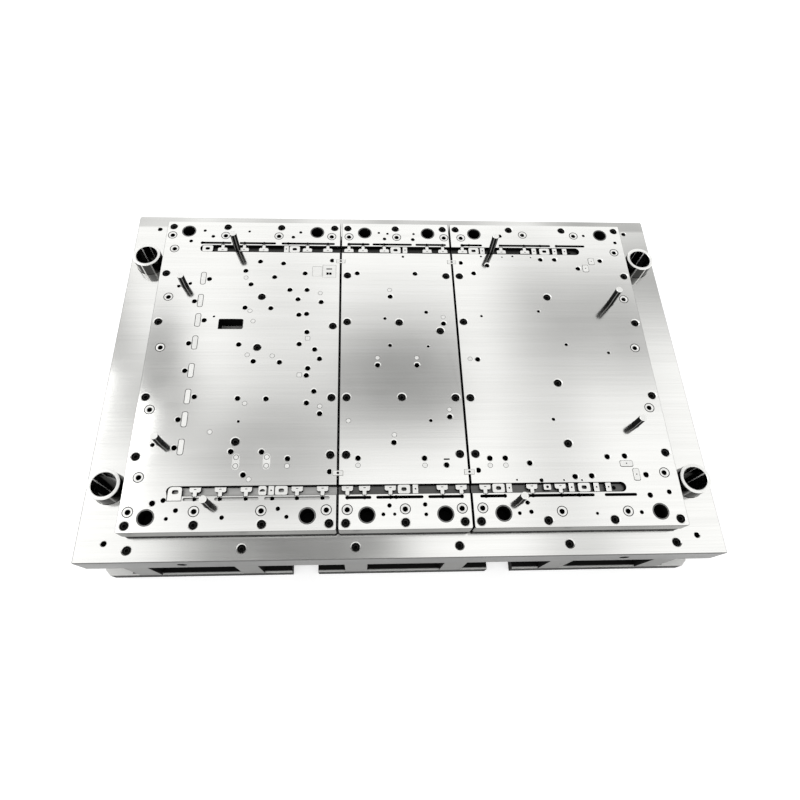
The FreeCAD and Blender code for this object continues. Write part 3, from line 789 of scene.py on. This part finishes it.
def slot_outline(name, side, start, stop):
    """Relief slot with a round bulge at each of its drilled holes."""
    left = plate_box(name)[0]
    y = channel_line(side) + SIDES[side] * RELIEF_OFFSET
    half = RELIEF_WIDTH / 2
    radius = STEM_HOLE / 2
    chord = math.sqrt(radius ** 2 - half ** 2)
    tilt = math.degrees(math.asin(half / radius))
    holes = slot_holes(name, side, start, stop)
    x0 = left + start + half
    x1 = left + stop - half
    inner = [x for x in holes if x0 + chord < x < x1 - chord]
    loop = []
    for way, turn, end in ((1, 0, x1), (-1, 180, x0)):
        for x in inner[::way]:
            loop += arc(x, y, radius, turn + 180 + tilt, turn + 360 - tilt, 8)
        last = holes[::way][-1] if holes else end - way * 2 * chord
        if way * (last - end) >= -chord:
            loop += arc(last, y, radius, turn - 80 - tilt, turn + 80 + tilt, 16)
        else:
            loop += arc(end, y, half, turn - 90, turn + 90, 10)
    return loop


def relief_cuts(name):
    """Relief slots outside the channels."""
    spans = [(side, span) for side in SIDES for span in RELIEF_SLOTS[side][name]]
    return [(slot_outline(name, side, *span), 0.0, EDGE) for side, span in spans]


def relief_floors():
    """Shallow floors of the relief slots on the left plate's front, between their drilled holes."""
    mesh = bmesh.new()
    y = channel_line("front") - RELIEF_OFFSET
    left = plate_box("left")[0]
    for start, stop in RELIEF_SLOTS["front"]["left"]:
        edges = [left + start]
        for x in slot_holes("left", "front", start, stop):
            edges += [x - STEM_HOLE / 2, x + STEM_HOLE / 2]
        edges.append(left + stop)
        for x0, x1 in zip(edges[::2], edges[1::2]):
            if x1 - x0 > 2:
                strip = rounded((x0 + x1) / 2, y, x1 - x0, RELIEF_WIDTH - 0.1, 0.5)
                add_slab(mesh, strip, [], LAYER, PLATE_TOP - RELIEF_FLOOR, 0.0)
    piece("relief_floors", mesh, [FLOOR_RELIEF] * 5)


def tongues(name, side):
    """Points along a channel's outer edge, from right to left in front and from left to right behind."""
    way = SIDES[side]
    y = channel_line(side) + way * CHANNEL_WIDTH / 2
    left = plate_box(name)[0]
    half = STEM_WIDTH / 2 + FIT_GAP
    spans = [(x - half, x + half, STEM_REACH) for x in stems(name, side)]
    if name == "left" and side == "front":
        x0, x1, reach = END_BLOCK
        spans.append((left + x0, left + x1, reach))
    points = []
    for x0, x1, reach in sorted(spans, reverse=way < 0):
        step = [(x0, y), (x0, y + way * reach), (x1, y + way * reach), (x1, y)]
        points += step if way > 0 else step[::-1]
    return points


def end_points(name, end, low, high):
    """Points up the right end (1), or down the left end (-1), of a plate, around the clip pockets."""
    edge = plate_box(name)[0 if end < 0 else 1]
    notches = []
    for start, stop in solids("joint_clips"):
        if start.x < edge < stop.x:
            inner = (stop.x if end < 0 else start.x) - end * FIT_GAP
            notches.append((start.y - FIT_GAP, stop.y + FIT_GAP, inner))
    points = []
    for start, stop, inner in sorted(notches):
        if low < start and stop < high:
            points += [(edge, start), (inner, start), (inner, stop), (edge, stop)]
    return points if end > 0 else points[::-1]


def upper_outlines(name):
    """Outlines of a plate's upper layer, which the channels cross."""
    left, right, front, back = plate_box(name)
    half = CHANNEL_WIDTH / 2
    low, high = [channel_line(side) for side in SIDES]
    r = PLATE_CORNER_RADIUS
    near = arc(left + r, front + r, r, 180, 270, 4) + arc(right - r, front + r, r, 270, 360, 4)
    far = arc(right - r, back - r, r, 0, 90, 4) + arc(left + r, back - r, r, 90, 180, 4)
    right_end = end_points(name, 1, low, high)
    left_end = end_points(name, -1, low, high)
    inner, outer = tongues(name, "front"), tongues(name, "back")
    if name == "centre":
        middle = [(left, low + half), (right, low + half)] + right_end
        middle += [(right, high - half), (left, high - half)] + left_end
        front_strip = near + [(right, low - half)] + inner + [(left, low - half)]
        back_strip = [(left, high + half)] + outer + [(right, high + half)] + far
        return [front_strip, middle, back_strip]
    if name == "left":
        x = left + CHANNEL_START + half
        slot = [(right, low - half)] + inner + arc(x, low, half, 180, 90, 6)
        slot += [(right, low + half)] + right_end + [(right, high - half)]
        slot += arc(x, high, half, 270, 90, 12) + outer + [(right, high + half)]
        return [near + slot + far]
    x = left + CHANNEL_STOP - half
    slot = [(left, high + half)] + outer + arc(x, high, half, 90, -90, 12) + [(left, high - half)]
    slot += left_end + [(left, low + half)] + arc(x, low, half, 90, -90, 12)
    slot += inner + [(left, low - half)]
    return [near + far + slot]


def inside(loop, x, y):
    """Whether a point lies inside a loop."""
    hit = False
    for i, (x1, y1) in enumerate(loop):
        x0, y0 = loop[i - 1]
        if (y0 > y) != (y1 > y) and x < x0 + (y - y0) * (x1 - x0) / (y1 - y0):
            hit = not hit
    return hit


def die_plate(name):
    """Detailed die plate: an upper layer that the channels cross, and a lower layer under it."""
    mesh = bmesh.new()
    cuts = round_cuts(name, False) + pocket_cuts(name) + relief_cuts(name)
    for outline in upper_outlines(name):
        own = [cut for cut in cuts if inside(outline, *cut[0][0])]
        add_slab(mesh, outline, own, LAYER, PLATE_TOP, PLATE_CHAMFER, SIDE)
    whole = box_outline(*box_mm("die_plate_" + name), PLATE_CORNER_RADIUS)
    deep = round_cuts(name, True) + pocket_cuts(name) + relief_cuts(name)
    deep = [(loop, 0.0, edge) for loop, _, edge in deep]
    # The lower layer's top, which shows in gaps and beside the channel floors, takes the bore material:
    # painted shade.
    add_slab(mesh, whole, deep, PLATE_BOTTOM, LAYER, 0.0, top_index=BORE)
    left, right, front, back = plate_box(name)
    ends = {"left": (left + 5, right + 1), "centre": (left - 1, right + 1), "right": (left - 1, right - 5)}
    clips = [(low.y, high.y) for low, high in solids("joint_clips")]
    darken(mesh, ends[name], (left + 25, right - 25), front + 5, back - 5, clips)
    materials = material_set(PLATE_FACE[name])
    piece("plate_" + name, mesh, materials, replaces=["die_plate_" + name])


def channel_floor(name, side):
    """Ground floor of a channel on one plate, narrower than the channel, so that a groove of painted shade
    shows along each of its walls.
    """
    left, right, _, _ = plate_box(name)
    y = channel_line(side)
    half = CHANNEL_FLOOR_WIDTH / 2
    loop = [(right, y - half), (right, y + half)]
    if name == "right":
        loop = arc(left + CHANNEL_STOP - CHANNEL_WIDTH / 2, y, half, -90, 90, 12)
    if name == "left":
        loop += arc(left + CHANNEL_START + CHANNEL_WIDTH / 2, y, half, 90, 270, 12)
    else:
        loop += [(left, y + half), (left, y - half)]
    cuts = [bore(px, py, PIN_HOLE, 0.0) for px, py in lifter_places(name) if abs(py - y) < 2]
    if name == "right":
        cuts.append(bore(left + CHANNEL_HOLE, y, STEM_HOLE, 0.3))
    mesh = bmesh.new()
    add_slab(mesh, loop, cuts, LAYER, CHANNEL_FLOOR, 0.0)
    title = "channel_floor_" + side + "_" + name
    material = steel(title, grey(CHANNEL_PAINTED_SHADES[side][name]), 0.4, streak=0.1)
    piece(title, mesh, [material] * 3 + [BORE_SHADE_STEEL] * 2)


# ---- Screws, dowels, bushes and plugs ----
def screws(name, spots, surface, turn):
    """Socket screws sunk a little below a surface, each turned a little further than the one before."""
    mesh = bmesh.new()
    top = surface - SCREW_SINK
    for number, (x, y) in enumerate(spots):
        hexagon = circle(x, y, SCREW_SOCKET / math.sqrt(3), 6, number * turn)
        head = circle(x, y, SCREW_HEAD / 2)
        socket = (hexagon, FINE_CHAMFER, EDGE)
        add_slab(mesh, head, [socket], top - SCREW_SOCKET_DEPTH, top, SCREW_CHAMFER)
        add_slab(mesh, head, [], top - SCREW_HEAD_HEIGHT, top - SCREW_SOCKET_DEPTH, 0.0)
    piece(name, mesh, SCREW_SET)


def sleeves(name, spots, size, points, hole, materials):
    """Flush round pieces through a plate, each with a hole."""
    mesh = bmesh.new()
    for x, y in spots:
        rim = circle(x, y, size / 2, points)
        add_slab(mesh, rim, [bore(x, y, *hole)], PLATE_BOTTOM, PLATE_TOP, FINE_CHAMFER, DARK_EDGE)
    piece(name, mesh, materials)


def plugs(name):
    """Flush slug plugs: round, square, and two in a round-ended plate."""
    mesh = bmesh.new()
    loops = [circle(x, y, PLUG / 2, 20) for x, y in places(name, PLUGS)]
    loops += [rounded(x, y, PLUG, PLUG, 1.0) for x, y in places(name, SQUARE_PLUGS)]
    for x, y in places(name, TWIN_PLUGS):
        rows = (y - TWIN_OFFSET, y + TWIN_OFFSET)
        seats = [bore(x, row, TWIN_SEAT, SEAT_CHAMFER, DARK_EDGE) for row in rows]
        add_slab(mesh, rounded(x, y, *TWIN_PLATE), seats, LAYER, PLATE_TOP, 0.3)
        loops += [circle(x, row, TWIN_PLUG / 2, 20) for row in rows]
    for loop in loops:
        add_slab(mesh, loop, [], LAYER, PLATE_TOP, SEAT_CHAMFER, DARK_EDGE)
    piece("plugs_" + name, mesh, KEY_SET)


# ---- Pieces in the channels, and flush inserts ----
def raised(mesh, outline, cuts):
    """One key or block that stands on the floor of a channel."""
    add_slab(mesh, outline, cuts, CHANNEL_FLOOR, PLATE_TOP, FINE_CHAMFER)


def t_keys(side):
    """T-shaped keys: head along the inner wall, stem let into the land before the relief slot."""
    mesh = bmesh.new()
    node = "t_keys_" + side
    way = SIDES[side]
    low, high = solids(node)[0]
    half = (high.x - low.x) / 2
    middle = channel_line(side)
    inner = middle - way * (CHANNEL_WIDTH / 2 - HEAD_GAP)
    neck = inner + way * KEY_HEAD
    outer = middle + way * (CHANNEL_WIDTH / 2 + STEM_REACH - FIT_GAP)
    stem = STEM_WIDTH / 2
    for name in PLATES:
        for x in stems(name, side):
            right = [(x + half, inner), (x + half, neck - way * KEY_BEVEL), (x + half - KEY_BEVEL, neck)]
            right += [(x + stem, neck), (x + stem, outer)]
            loop = right + [(2 * x - px, py) for px, py in right[::-1]]
            if way < 0:
                loop.reverse()
            slit = rounded(x, inner + way * KEY_SLIT_PLACE, *KEY_SLIT, 2)
            raised(mesh, loop, [(slit, 0.0, DARK_EDGE)])
    piece("keys_" + side, mesh, KEY_SET, replaces=[node])


def guide_blocks(side):
    """Blocks across the channel with a locating hole."""
    mesh = bmesh.new()
    node = "guide_blocks_" + side
    found = solids(node)
    if side == "front":
        found = found[1:]
        end_block(mesh)
        y = channel_line(side)
        x = plate_box("left")[0] + SMALL_BLOCK[0]
        opening = (half_round(x, y + 0.5, 4.2), FINE_CHAMFER, EDGE)
        raised(mesh, rounded(x, y, SMALL_BLOCK[1], CHANNEL_WIDTH - 0.4, 3.0), [opening])
        y += 1
        x = plate_box("right")[0] + SQUARE_KEY[0]
        hole = bore(x, y, SQUARE_KEY_HOLE, SEAT_CHAMFER, DARK_EDGE)
        raised(mesh, rounded(x, y, *SQUARE_KEY[1:], 1.5), [hole])
        pin = circle(x, y, SQUARE_KEY_PIN / 2, 16)
        add_slab(mesh, pin, [], CHANNEL_FLOOR, PLATE_TOP - FIT_GAP, SEAT_CHAMFER, SIDE, SIDE)
    for low, high in found:
        opening = (rounded(*centre(low, high), *BLOCK_OPENING), FINE_CHAMFER, EDGE)
        raised(mesh, box_outline(low, high, 3.0), [opening])
    piece("blocks_" + side, mesh, KEY_SET, replaces=[node])


def end_block(mesh):
    """D-shaped block at the left end of the front channel, out over the line of the relief slots."""
    x0, x1, reach = END_BLOCK
    x = plate_box("left")[0] + (x0 + x1) / 2
    half = (x1 - x0) / 2 - FIT_GAP
    top = channel_line("front") + CHANNEL_WIDTH / 2 - FIT_GAP
    foot = channel_line("front") - CHANNEL_WIDTH / 2 - reach + FIT_GAP
    loop = [(x - half, foot), (x + half, foot)] + arc(x + half - 5, top - 5, 5, 0, 90, 5)
    loop += arc(x - half + 6.5, top - 6.5, 6.5, 90, 180, 6)
    raised(mesh, loop, [(rounded(x + 0.5, top - 8.5, *END_OPENING), FINE_CHAMFER, EDGE)])


def half_round(x, y, radius):
    """Upright half-round opening with its flat side down."""
    return arc(x, y - radius * 0.5, radius, 0, 180, 12)


def cross_bars(side):
    """Plain bars across the channel."""
    mesh = bmesh.new()
    node = "cross_bars_" + side
    for low, high in solids(node):
        hole = bore(*centre(low, high), BAR_HOLE, SEAT_CHAMFER, DARK_EDGE)
        raised(mesh, box_outline(low, high, 1.0), [hole])
    piece("bars_" + side, mesh, KEY_SET, replaces=[node])


def flush_inserts():
    """Slot, form and corner inserts, and the joint clips."""
    for node in POCKETS:
        mesh = bmesh.new()
        for low, high in solids(node):
            edge = DARK_EDGE if node == "slot_inserts" else EDGE
            add_slab(mesh, insert_outline(node, low, high), insert_cuts(node, low, high), low.z, high.z,
                     INSERT_CHAMFER, edge)
        piece(node.replace("inserts", "pieces"), mesh, KEY_SET, replaces=[node])
    mesh = bmesh.new()
    for low, high in solids("joint_clips"):
        hole = bore(*centre(low, high), CLIP_HOLE, 0.0)
        add_slab(mesh, box_outline(low, high, 1.0), [hole], low.z, high.z, FINE_CHAMFER)
    piece("clips", mesh, KEY_SET, replaces=["joint_clips"])


def window_floor():
    """Ground face at the bottom of the form window, with a small hole."""
    mesh = bmesh.new()
    x, y = place("left", *WINDOW[:2])
    outline = rounded(x, y, WINDOW[2] - 1, WINDOW[3] - 1, 2.0)
    hole = bore(x - 8.5, y - 5.5, 4.0, 0.0)
    add_slab(mesh, outline, [hole], PLATE_BOTTOM, PLATE_BOTTOM + 0.8, 0.3, SIDE)
    piece("window_floor", mesh, [WINDOW_FACE] * 2 + [BORE_SHADE_STEEL] * 3)


def joint_shade_strips():
    """Near-black strips at the bottom of the two joints between the plates: painted shade."""
    mesh = bmesh.new()
    gap = box_mm("backing_plate_centre")[0].x - box_mm("backing_plate_left")[1].x
    for name in ("left", "centre"):
        _, right, front, back = plate_box(name)
        strip = rounded(right + gap / 2, (front + back) / 2, gap - 0.2, back - front - 4, 0.4)
        add_slab(mesh, strip, [], SHOE_TOP, SHOE_TOP + JOINT_STRIP_HEIGHT, 0.0)
    piece("joint_shade_strips", mesh, [BORE_SHADE_STEEL] * 5)


# ---- Shoe, bushes, lifters ----
def shoe_screw_places():
    """Screws over the parallels, along the front edge of the shoe."""
    front = box_mm("die_shoe")[0].y + SHOE_SCREW_INSET
    return [(centre(*box_mm("parallel_" + str(number)))[0], front) for number in range(1, 7)]


def shoe():
    """Die shoe with chamfered bores, and lifting holes cut into its long faces."""
    shoe_low, shoe_high = box_mm("die_shoe")
    mesh = bmesh.new()
    cuts = []
    for low, high in solids("guide_bushes"):
        cuts.append(bore(*centre(low, high), high.x - low.x + 0.02))
    cuts += [bore(x, y, SCREW_SEAT, WIDE_CHAMFER) for x, y in shoe_screw_places()]
    cuts += [bore(x, y, SHOE_HOLE) for x, y in SHOE_HOLES]
    for number in LIFTERS:
        x, y = centre(*box_mm("lifter_spring_" + number))
        cuts.append((rounded(x, y, SPRING_POCKET, SPRING_POCKET, 1.0), 0.0, EDGE))
    add_slab(mesh, box_outline(shoe_low, shoe_high, 3.0), cuts, SHOE_BOTTOM, SHOE_TOP, WIDE_CHAMFER, SIDE)
    for way in SIDES.values():
        lifting_holes(mesh, way, shoe_high.y)
    piece("shoe", mesh, material_set(SHOE_FACE), replaces=["die_shoe"])


def lifting_holes(mesh, way, reach):
    """Two blind tapped holes cut into a long face of the shoe."""
    height = (SHOE_TOP + SHOE_BOTTOM) / 2
    wall = way * reach * MM
    flat = [face for face in mesh.faces if all(abs(vert.co.y - wall) < 1e-6 for vert in face.verts)]
    face = max(flat, key=lambda found: found.calc_area())
    rings = [list(face.verts)]
    mesh.faces.remove(face)
    for x in (-LIFTING_PLACE, LIFTING_PLACE):
        steps = []
        for wider, sunk in ((LIFTING_CHAMFER, 0.0), (0.0, LIFTING_CHAMFER), (0.0, LIFTING_DEPTH)):
            loop = circle(x, height, LIFTING_HOLE / 2 + wider)
            y = way * (reach - sunk)
            steps.append([mesh.verts.new((px * MM, y * MM, pz * MM)) for px, pz in loop])
        mouth, seat, floor = steps
        # The mouth's chamfer, like the walls and floor, takes the bore material: painted shade.
        band(mesh, mouth, seat, BORE)
        band(mesh, seat, floor, BORE)
        cap(mesh, [floor], BORE)
        rings.append(mouth)
    cap(mesh, rings, SIDE)


def guide_bushes():
    """Four sleeves with rounded rims."""
    mesh = bmesh.new()
    for low, high in solids("guide_bushes"):
        x, y = centre(low, high)
        outer = (high.x - low.x) / 2
        inner = outer - BUSH_WALL
        side = "front" if y < 0 else "back"
        lines = [(wall, turn if x < 0 else 180 - turn, tone) for wall, turn, tone in BUSH_PAINTED_LINES[side]]
        profile = [
            (outer, low.z, SIDE),
            (outer, high.z - 1.5, EDGE),
            (outer - 0.4, high.z - 0.5, EDGE),
            (outer - 1.5, high.z, TOP),
            (inner + 1.2, high.z, EDGE),
            (inner, high.z - 1.2, BORE),
            (inner, low.z, BORE),
        ]
        add_turned(mesh, x, y, profile, 64, lines)
    piece("bushes", mesh, [BUSH_FACE] * 2 + [BUSH_STEEL] * 3 + [BUSH_PAINTED_GLEAM, BUSH_PAINTED_FAINT_GLEAM],
          replaces=["guide_bushes"])


def lifter(number):
    """Lifter pin with a chamfered top on its square head."""
    node = "lifter_pin_" + number
    low, high = box_mm(node)
    x, y = centre(low, high)
    shoulder = low.z + PIN_HEAD
    mesh = bmesh.new()
    add_slab(mesh, circle(x, y, PIN / 2, 32), [], shoulder, high.z, PIN_CHAMFER)
    for face in mesh.faces:
        face.normal_update()
        turn = math.degrees(math.atan2(face.normal.y, face.normal.x)) % 360
        # Side faces at these angles get the painted highlight.
        if face.material_index == SIDE and min(abs(turn - line) for line in PIN_PAINTED_LINES) < 6:
            face.material_index = PAINTED_GLEAM
    add_slab(mesh, box_outline(low, high, 1.0), [], low.z, shoulder, 0.0, SIDE, SIDE)
    piece("pin_" + number, mesh, [KEY_STEEL] * 2 + [PIN_STEEL] * 3 + [PIN_PAINTED_GLEAM], body="lifter_" + number,
          replaces=[node])


def spring(number):
    """Urethane spring block under its lifter."""
    node = "lifter_spring_" + number
    low, high = box_mm(node)
    mesh = bmesh.new()
    add_slab(mesh, box_outline(low, high, 2.0), [], low.z, high.z, FINE_CHAMFER)
    block = piece("spring_" + number, mesh, [SPRING] * 5, replaces=[node])
    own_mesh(block)


for plate_name in PLATES:
    die_plate(plate_name)
    screws("plate_screws_" + plate_name, screw_places(plate_name), PLATE_TOP, 0.7)
    sleeves("pull_dowels_" + plate_name, places(plate_name, DOWELS), DOWEL, 32,
            (DOWEL_BORE, DOWEL_CHAMFER), KEY_SET)
    sleeves("inner_bushes_" + plate_name, bush_places(plate_name), INNER_BUSH, 40,
            (INNER_BORE, CHAMFER, DARK_EDGE), material_set(SLEEVE_FACE))
    plugs(plate_name)
    channel_floor(plate_name, "front")
    channel_floor(plate_name, "back")
relief_floors()
for side_name in SIDES:
    t_keys(side_name)
    guide_blocks(side_name)
    cross_bars(side_name)
flush_inserts()
window_floor()
joint_shade_strips()
shoe()
screws("shoe_screws", shoe_screw_places(), SHOE_TOP, 0.9)
guide_bushes()
for lifter_number in LIFTERS:
    lifter(lifter_number)
    spring(lifter_number)


# ---- CAD nodes that stay, with their materials ----
def dress(prefix, material):
    """Gives every CAD node whose name starts with the prefix one material."""
    for name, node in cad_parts.items():
        if name.startswith(prefix):
            node.data.materials.clear()
            node.data.materials.append(material)


dress("clamp_plate", CLAMP_STEEL)
dress("parallel", PARALLEL_STEEL)
dress("backing_plate", BACKING_SHADE_STEEL)


# ---- Studio ----
# Strength of the floor's glow to the camera and in reflections, and of the world's light.
FLOOR_SEEN = 0.6
FLOOR_MIRRORED = 0.3
WORLD_LIGHT = 0.8


def studio_floor():
    """Large pale floor that takes the die's shadow."""
    mesh = bmesh.new()
    mesh.faces.new(ring(mesh, rounded(0, 0, 9000, 9000, 3000, 12), -0.05))
    material, tree, shader = node_tree("floor_paint")
    shader.inputs["Base Color"].default_value = (0.9, 0.9, 0.9, 1.0)
    shader.inputs["Roughness"].default_value = 0.9
    shader.inputs["Specular IOR Level"].default_value = 0.0
    shader.inputs["Emission Color"].default_value = (1.0, 1.0, 1.0, 1.0)
    rays = tree.nodes.new("ShaderNodeLightPath")
    seen = maths(tree, "MULTIPLY", rays.outputs["Is Camera Ray"], FLOOR_SEEN)
    mirrored = maths(tree, "MULTIPLY", rays.outputs["Is Glossy Ray"], FLOOR_MIRRORED)
    tree.links.new(maths(tree, "ADD", seen, mirrored), shader.inputs["Emission Strength"])
    mesh_object("floor", mesh, [material])


# Soft darker areas of the ceiling: middle, spread, depth and how sharp the border is.
# The first two are in metres on a plane one metre above the die.
CEILING = [
    ((-0.27, 0.36), (0.21, 0.125), 0.50, 1.5),
    ((-0.53, 0.585), (0.06, 0.12), 0.60, 1.5),
    ((-0.475, 0.475), (0.055, 0.09), 0.50, 1.5),
    ((-0.26, 0.60), (0.12, 0.25), 0.20, 1.5),
    ((-0.515, 0.555), (0.05, 0.15), 0.32, 1.5),
    ((0.075, 0.50), (0.22, 0.12), 0.69, 1.6),
    ((0.08, 0.63), (0.20, 0.11), 0.25, 1.5),
    ((0.68, 0.68), (0.24, 0.16), 0.56, 1.5),
    ((0.48, 0.52), (0.085, 0.40), 0.27, 1.5),
    ((-0.12, 0.06), (0.21, 0.09), 0.78, 4.0),
    ((0.375, 0.06), (0.07, 0.08), 0.35, 2.0),
]


def ceiling(tree):
    """Brightness of the ceiling seen along a direction."""
    way = tree.nodes.new("ShaderNodeTexCoord")
    part = add_node(tree, "ShaderNodeSeparateXYZ", [(0, way.outputs["Generated"])])
    height = maths(tree, "MAXIMUM", part.outputs["Z"], 0.05)
    seen = [maths(tree, "DIVIDE", part.outputs[axis], height) for axis in "XY"]
    light = 1.0
    for middle, spread, depth, sharp in CEILING:
        squares = []
        for place_seen, start, reach in zip(seen, middle, spread):
            offset = maths(tree, "DIVIDE", maths(tree, "SUBTRACT", place_seen, start), reach)
            squares.append(maths(tree, "MULTIPLY", offset, offset))
        power = maths(tree, "POWER", maths(tree, "ADD", *squares), sharp)
        fall = maths(tree, "EXPONENT", maths(tree, "MULTIPLY", power, -1.0))
        kept = maths(tree, "SUBTRACT", 1.0, maths(tree, "MULTIPLY", fall, depth))
        light = maths(tree, "MULTIPLY", kept, light)
    return light


def world_light():
    """White surroundings, with soft darker areas overhead that the metal reflects."""
    world = bpy.data.worlds.new("studio")
    bpy.context.scene.world = world
    world.use_nodes = True
    tree = world.node_tree
    back = tree.nodes["Background"]
    back.inputs["Color"].default_value = (1.0, 1.0, 1.0, 1.0)
    rays = tree.nodes.new("ShaderNodeLightPath")
    plain = ramp(tree, rays.outputs["Is Camera Ray"], 0.0, 1.0, WORLD_LIGHT, 1.0)
    mirrored = maths(tree, "MULTIPLY", rays.outputs["Is Glossy Ray"], ceiling(tree))
    rest = maths(tree, "SUBTRACT", 1.0, rays.outputs["Is Glossy Ray"])
    power = maths(tree, "ADD", mirrored, maths(tree, "MULTIPLY", rest, plain))
    tree.links.new(power, back.inputs["Strength"])


def lamp(name, place_mm, aim_mm, size, watts):
    """Square soft lamp."""
    data = bpy.data.lights.new(name, "AREA")
    data.size = size
    data.energy = watts
    obj = link(name, data)
    obj.location = Vector(place_mm) * MM
    way = Vector(aim_mm) - Vector(place_mm)
    obj.rotation_euler = way.to_track_quat("-Z", "Y").to_euler()


def camera():
    """Camera at the photograph's angle, from the front and well above."""
    azimuth = math.radians(6.7)
    elevation = math.radians(65.34)
    roll = math.radians(5.9)
    distance = 985.0
    target = Vector((-27.3, -91.2, PLATE_TOP))
    forward = Vector((math.sin(azimuth) * math.cos(elevation), math.cos(azimuth) * math.cos(elevation),
                      -math.sin(elevation)))
    level = forward.cross(Vector((0, 0, 1))).normalized()
    upright = level.cross(forward)
    right = level * math.cos(roll) + upright * math.sin(roll)
    up = right.cross(forward)
    data = bpy.data.cameras.new("camera")
    data.sensor_width = 36.0
    data.lens = 25.8
    data.shift_x = 0.01425
    data.shift_y = 0.00325
    data.clip_start = 0.01
    obj = link("camera", data)
    turn = Matrix((right, up, -forward)).transposed()
    obj.matrix_world = Matrix.LocRotScale((target - forward * distance) * MM, turn.to_quaternion(), None)
    bpy.context.scene.camera = obj


studio_floor()
world_light()
lamp("key", (-2300, 500, 2200), (0, 0, 150), 1.4, 10)
camera()
bpy.context.scene.view_settings.view_transform = "Standard"
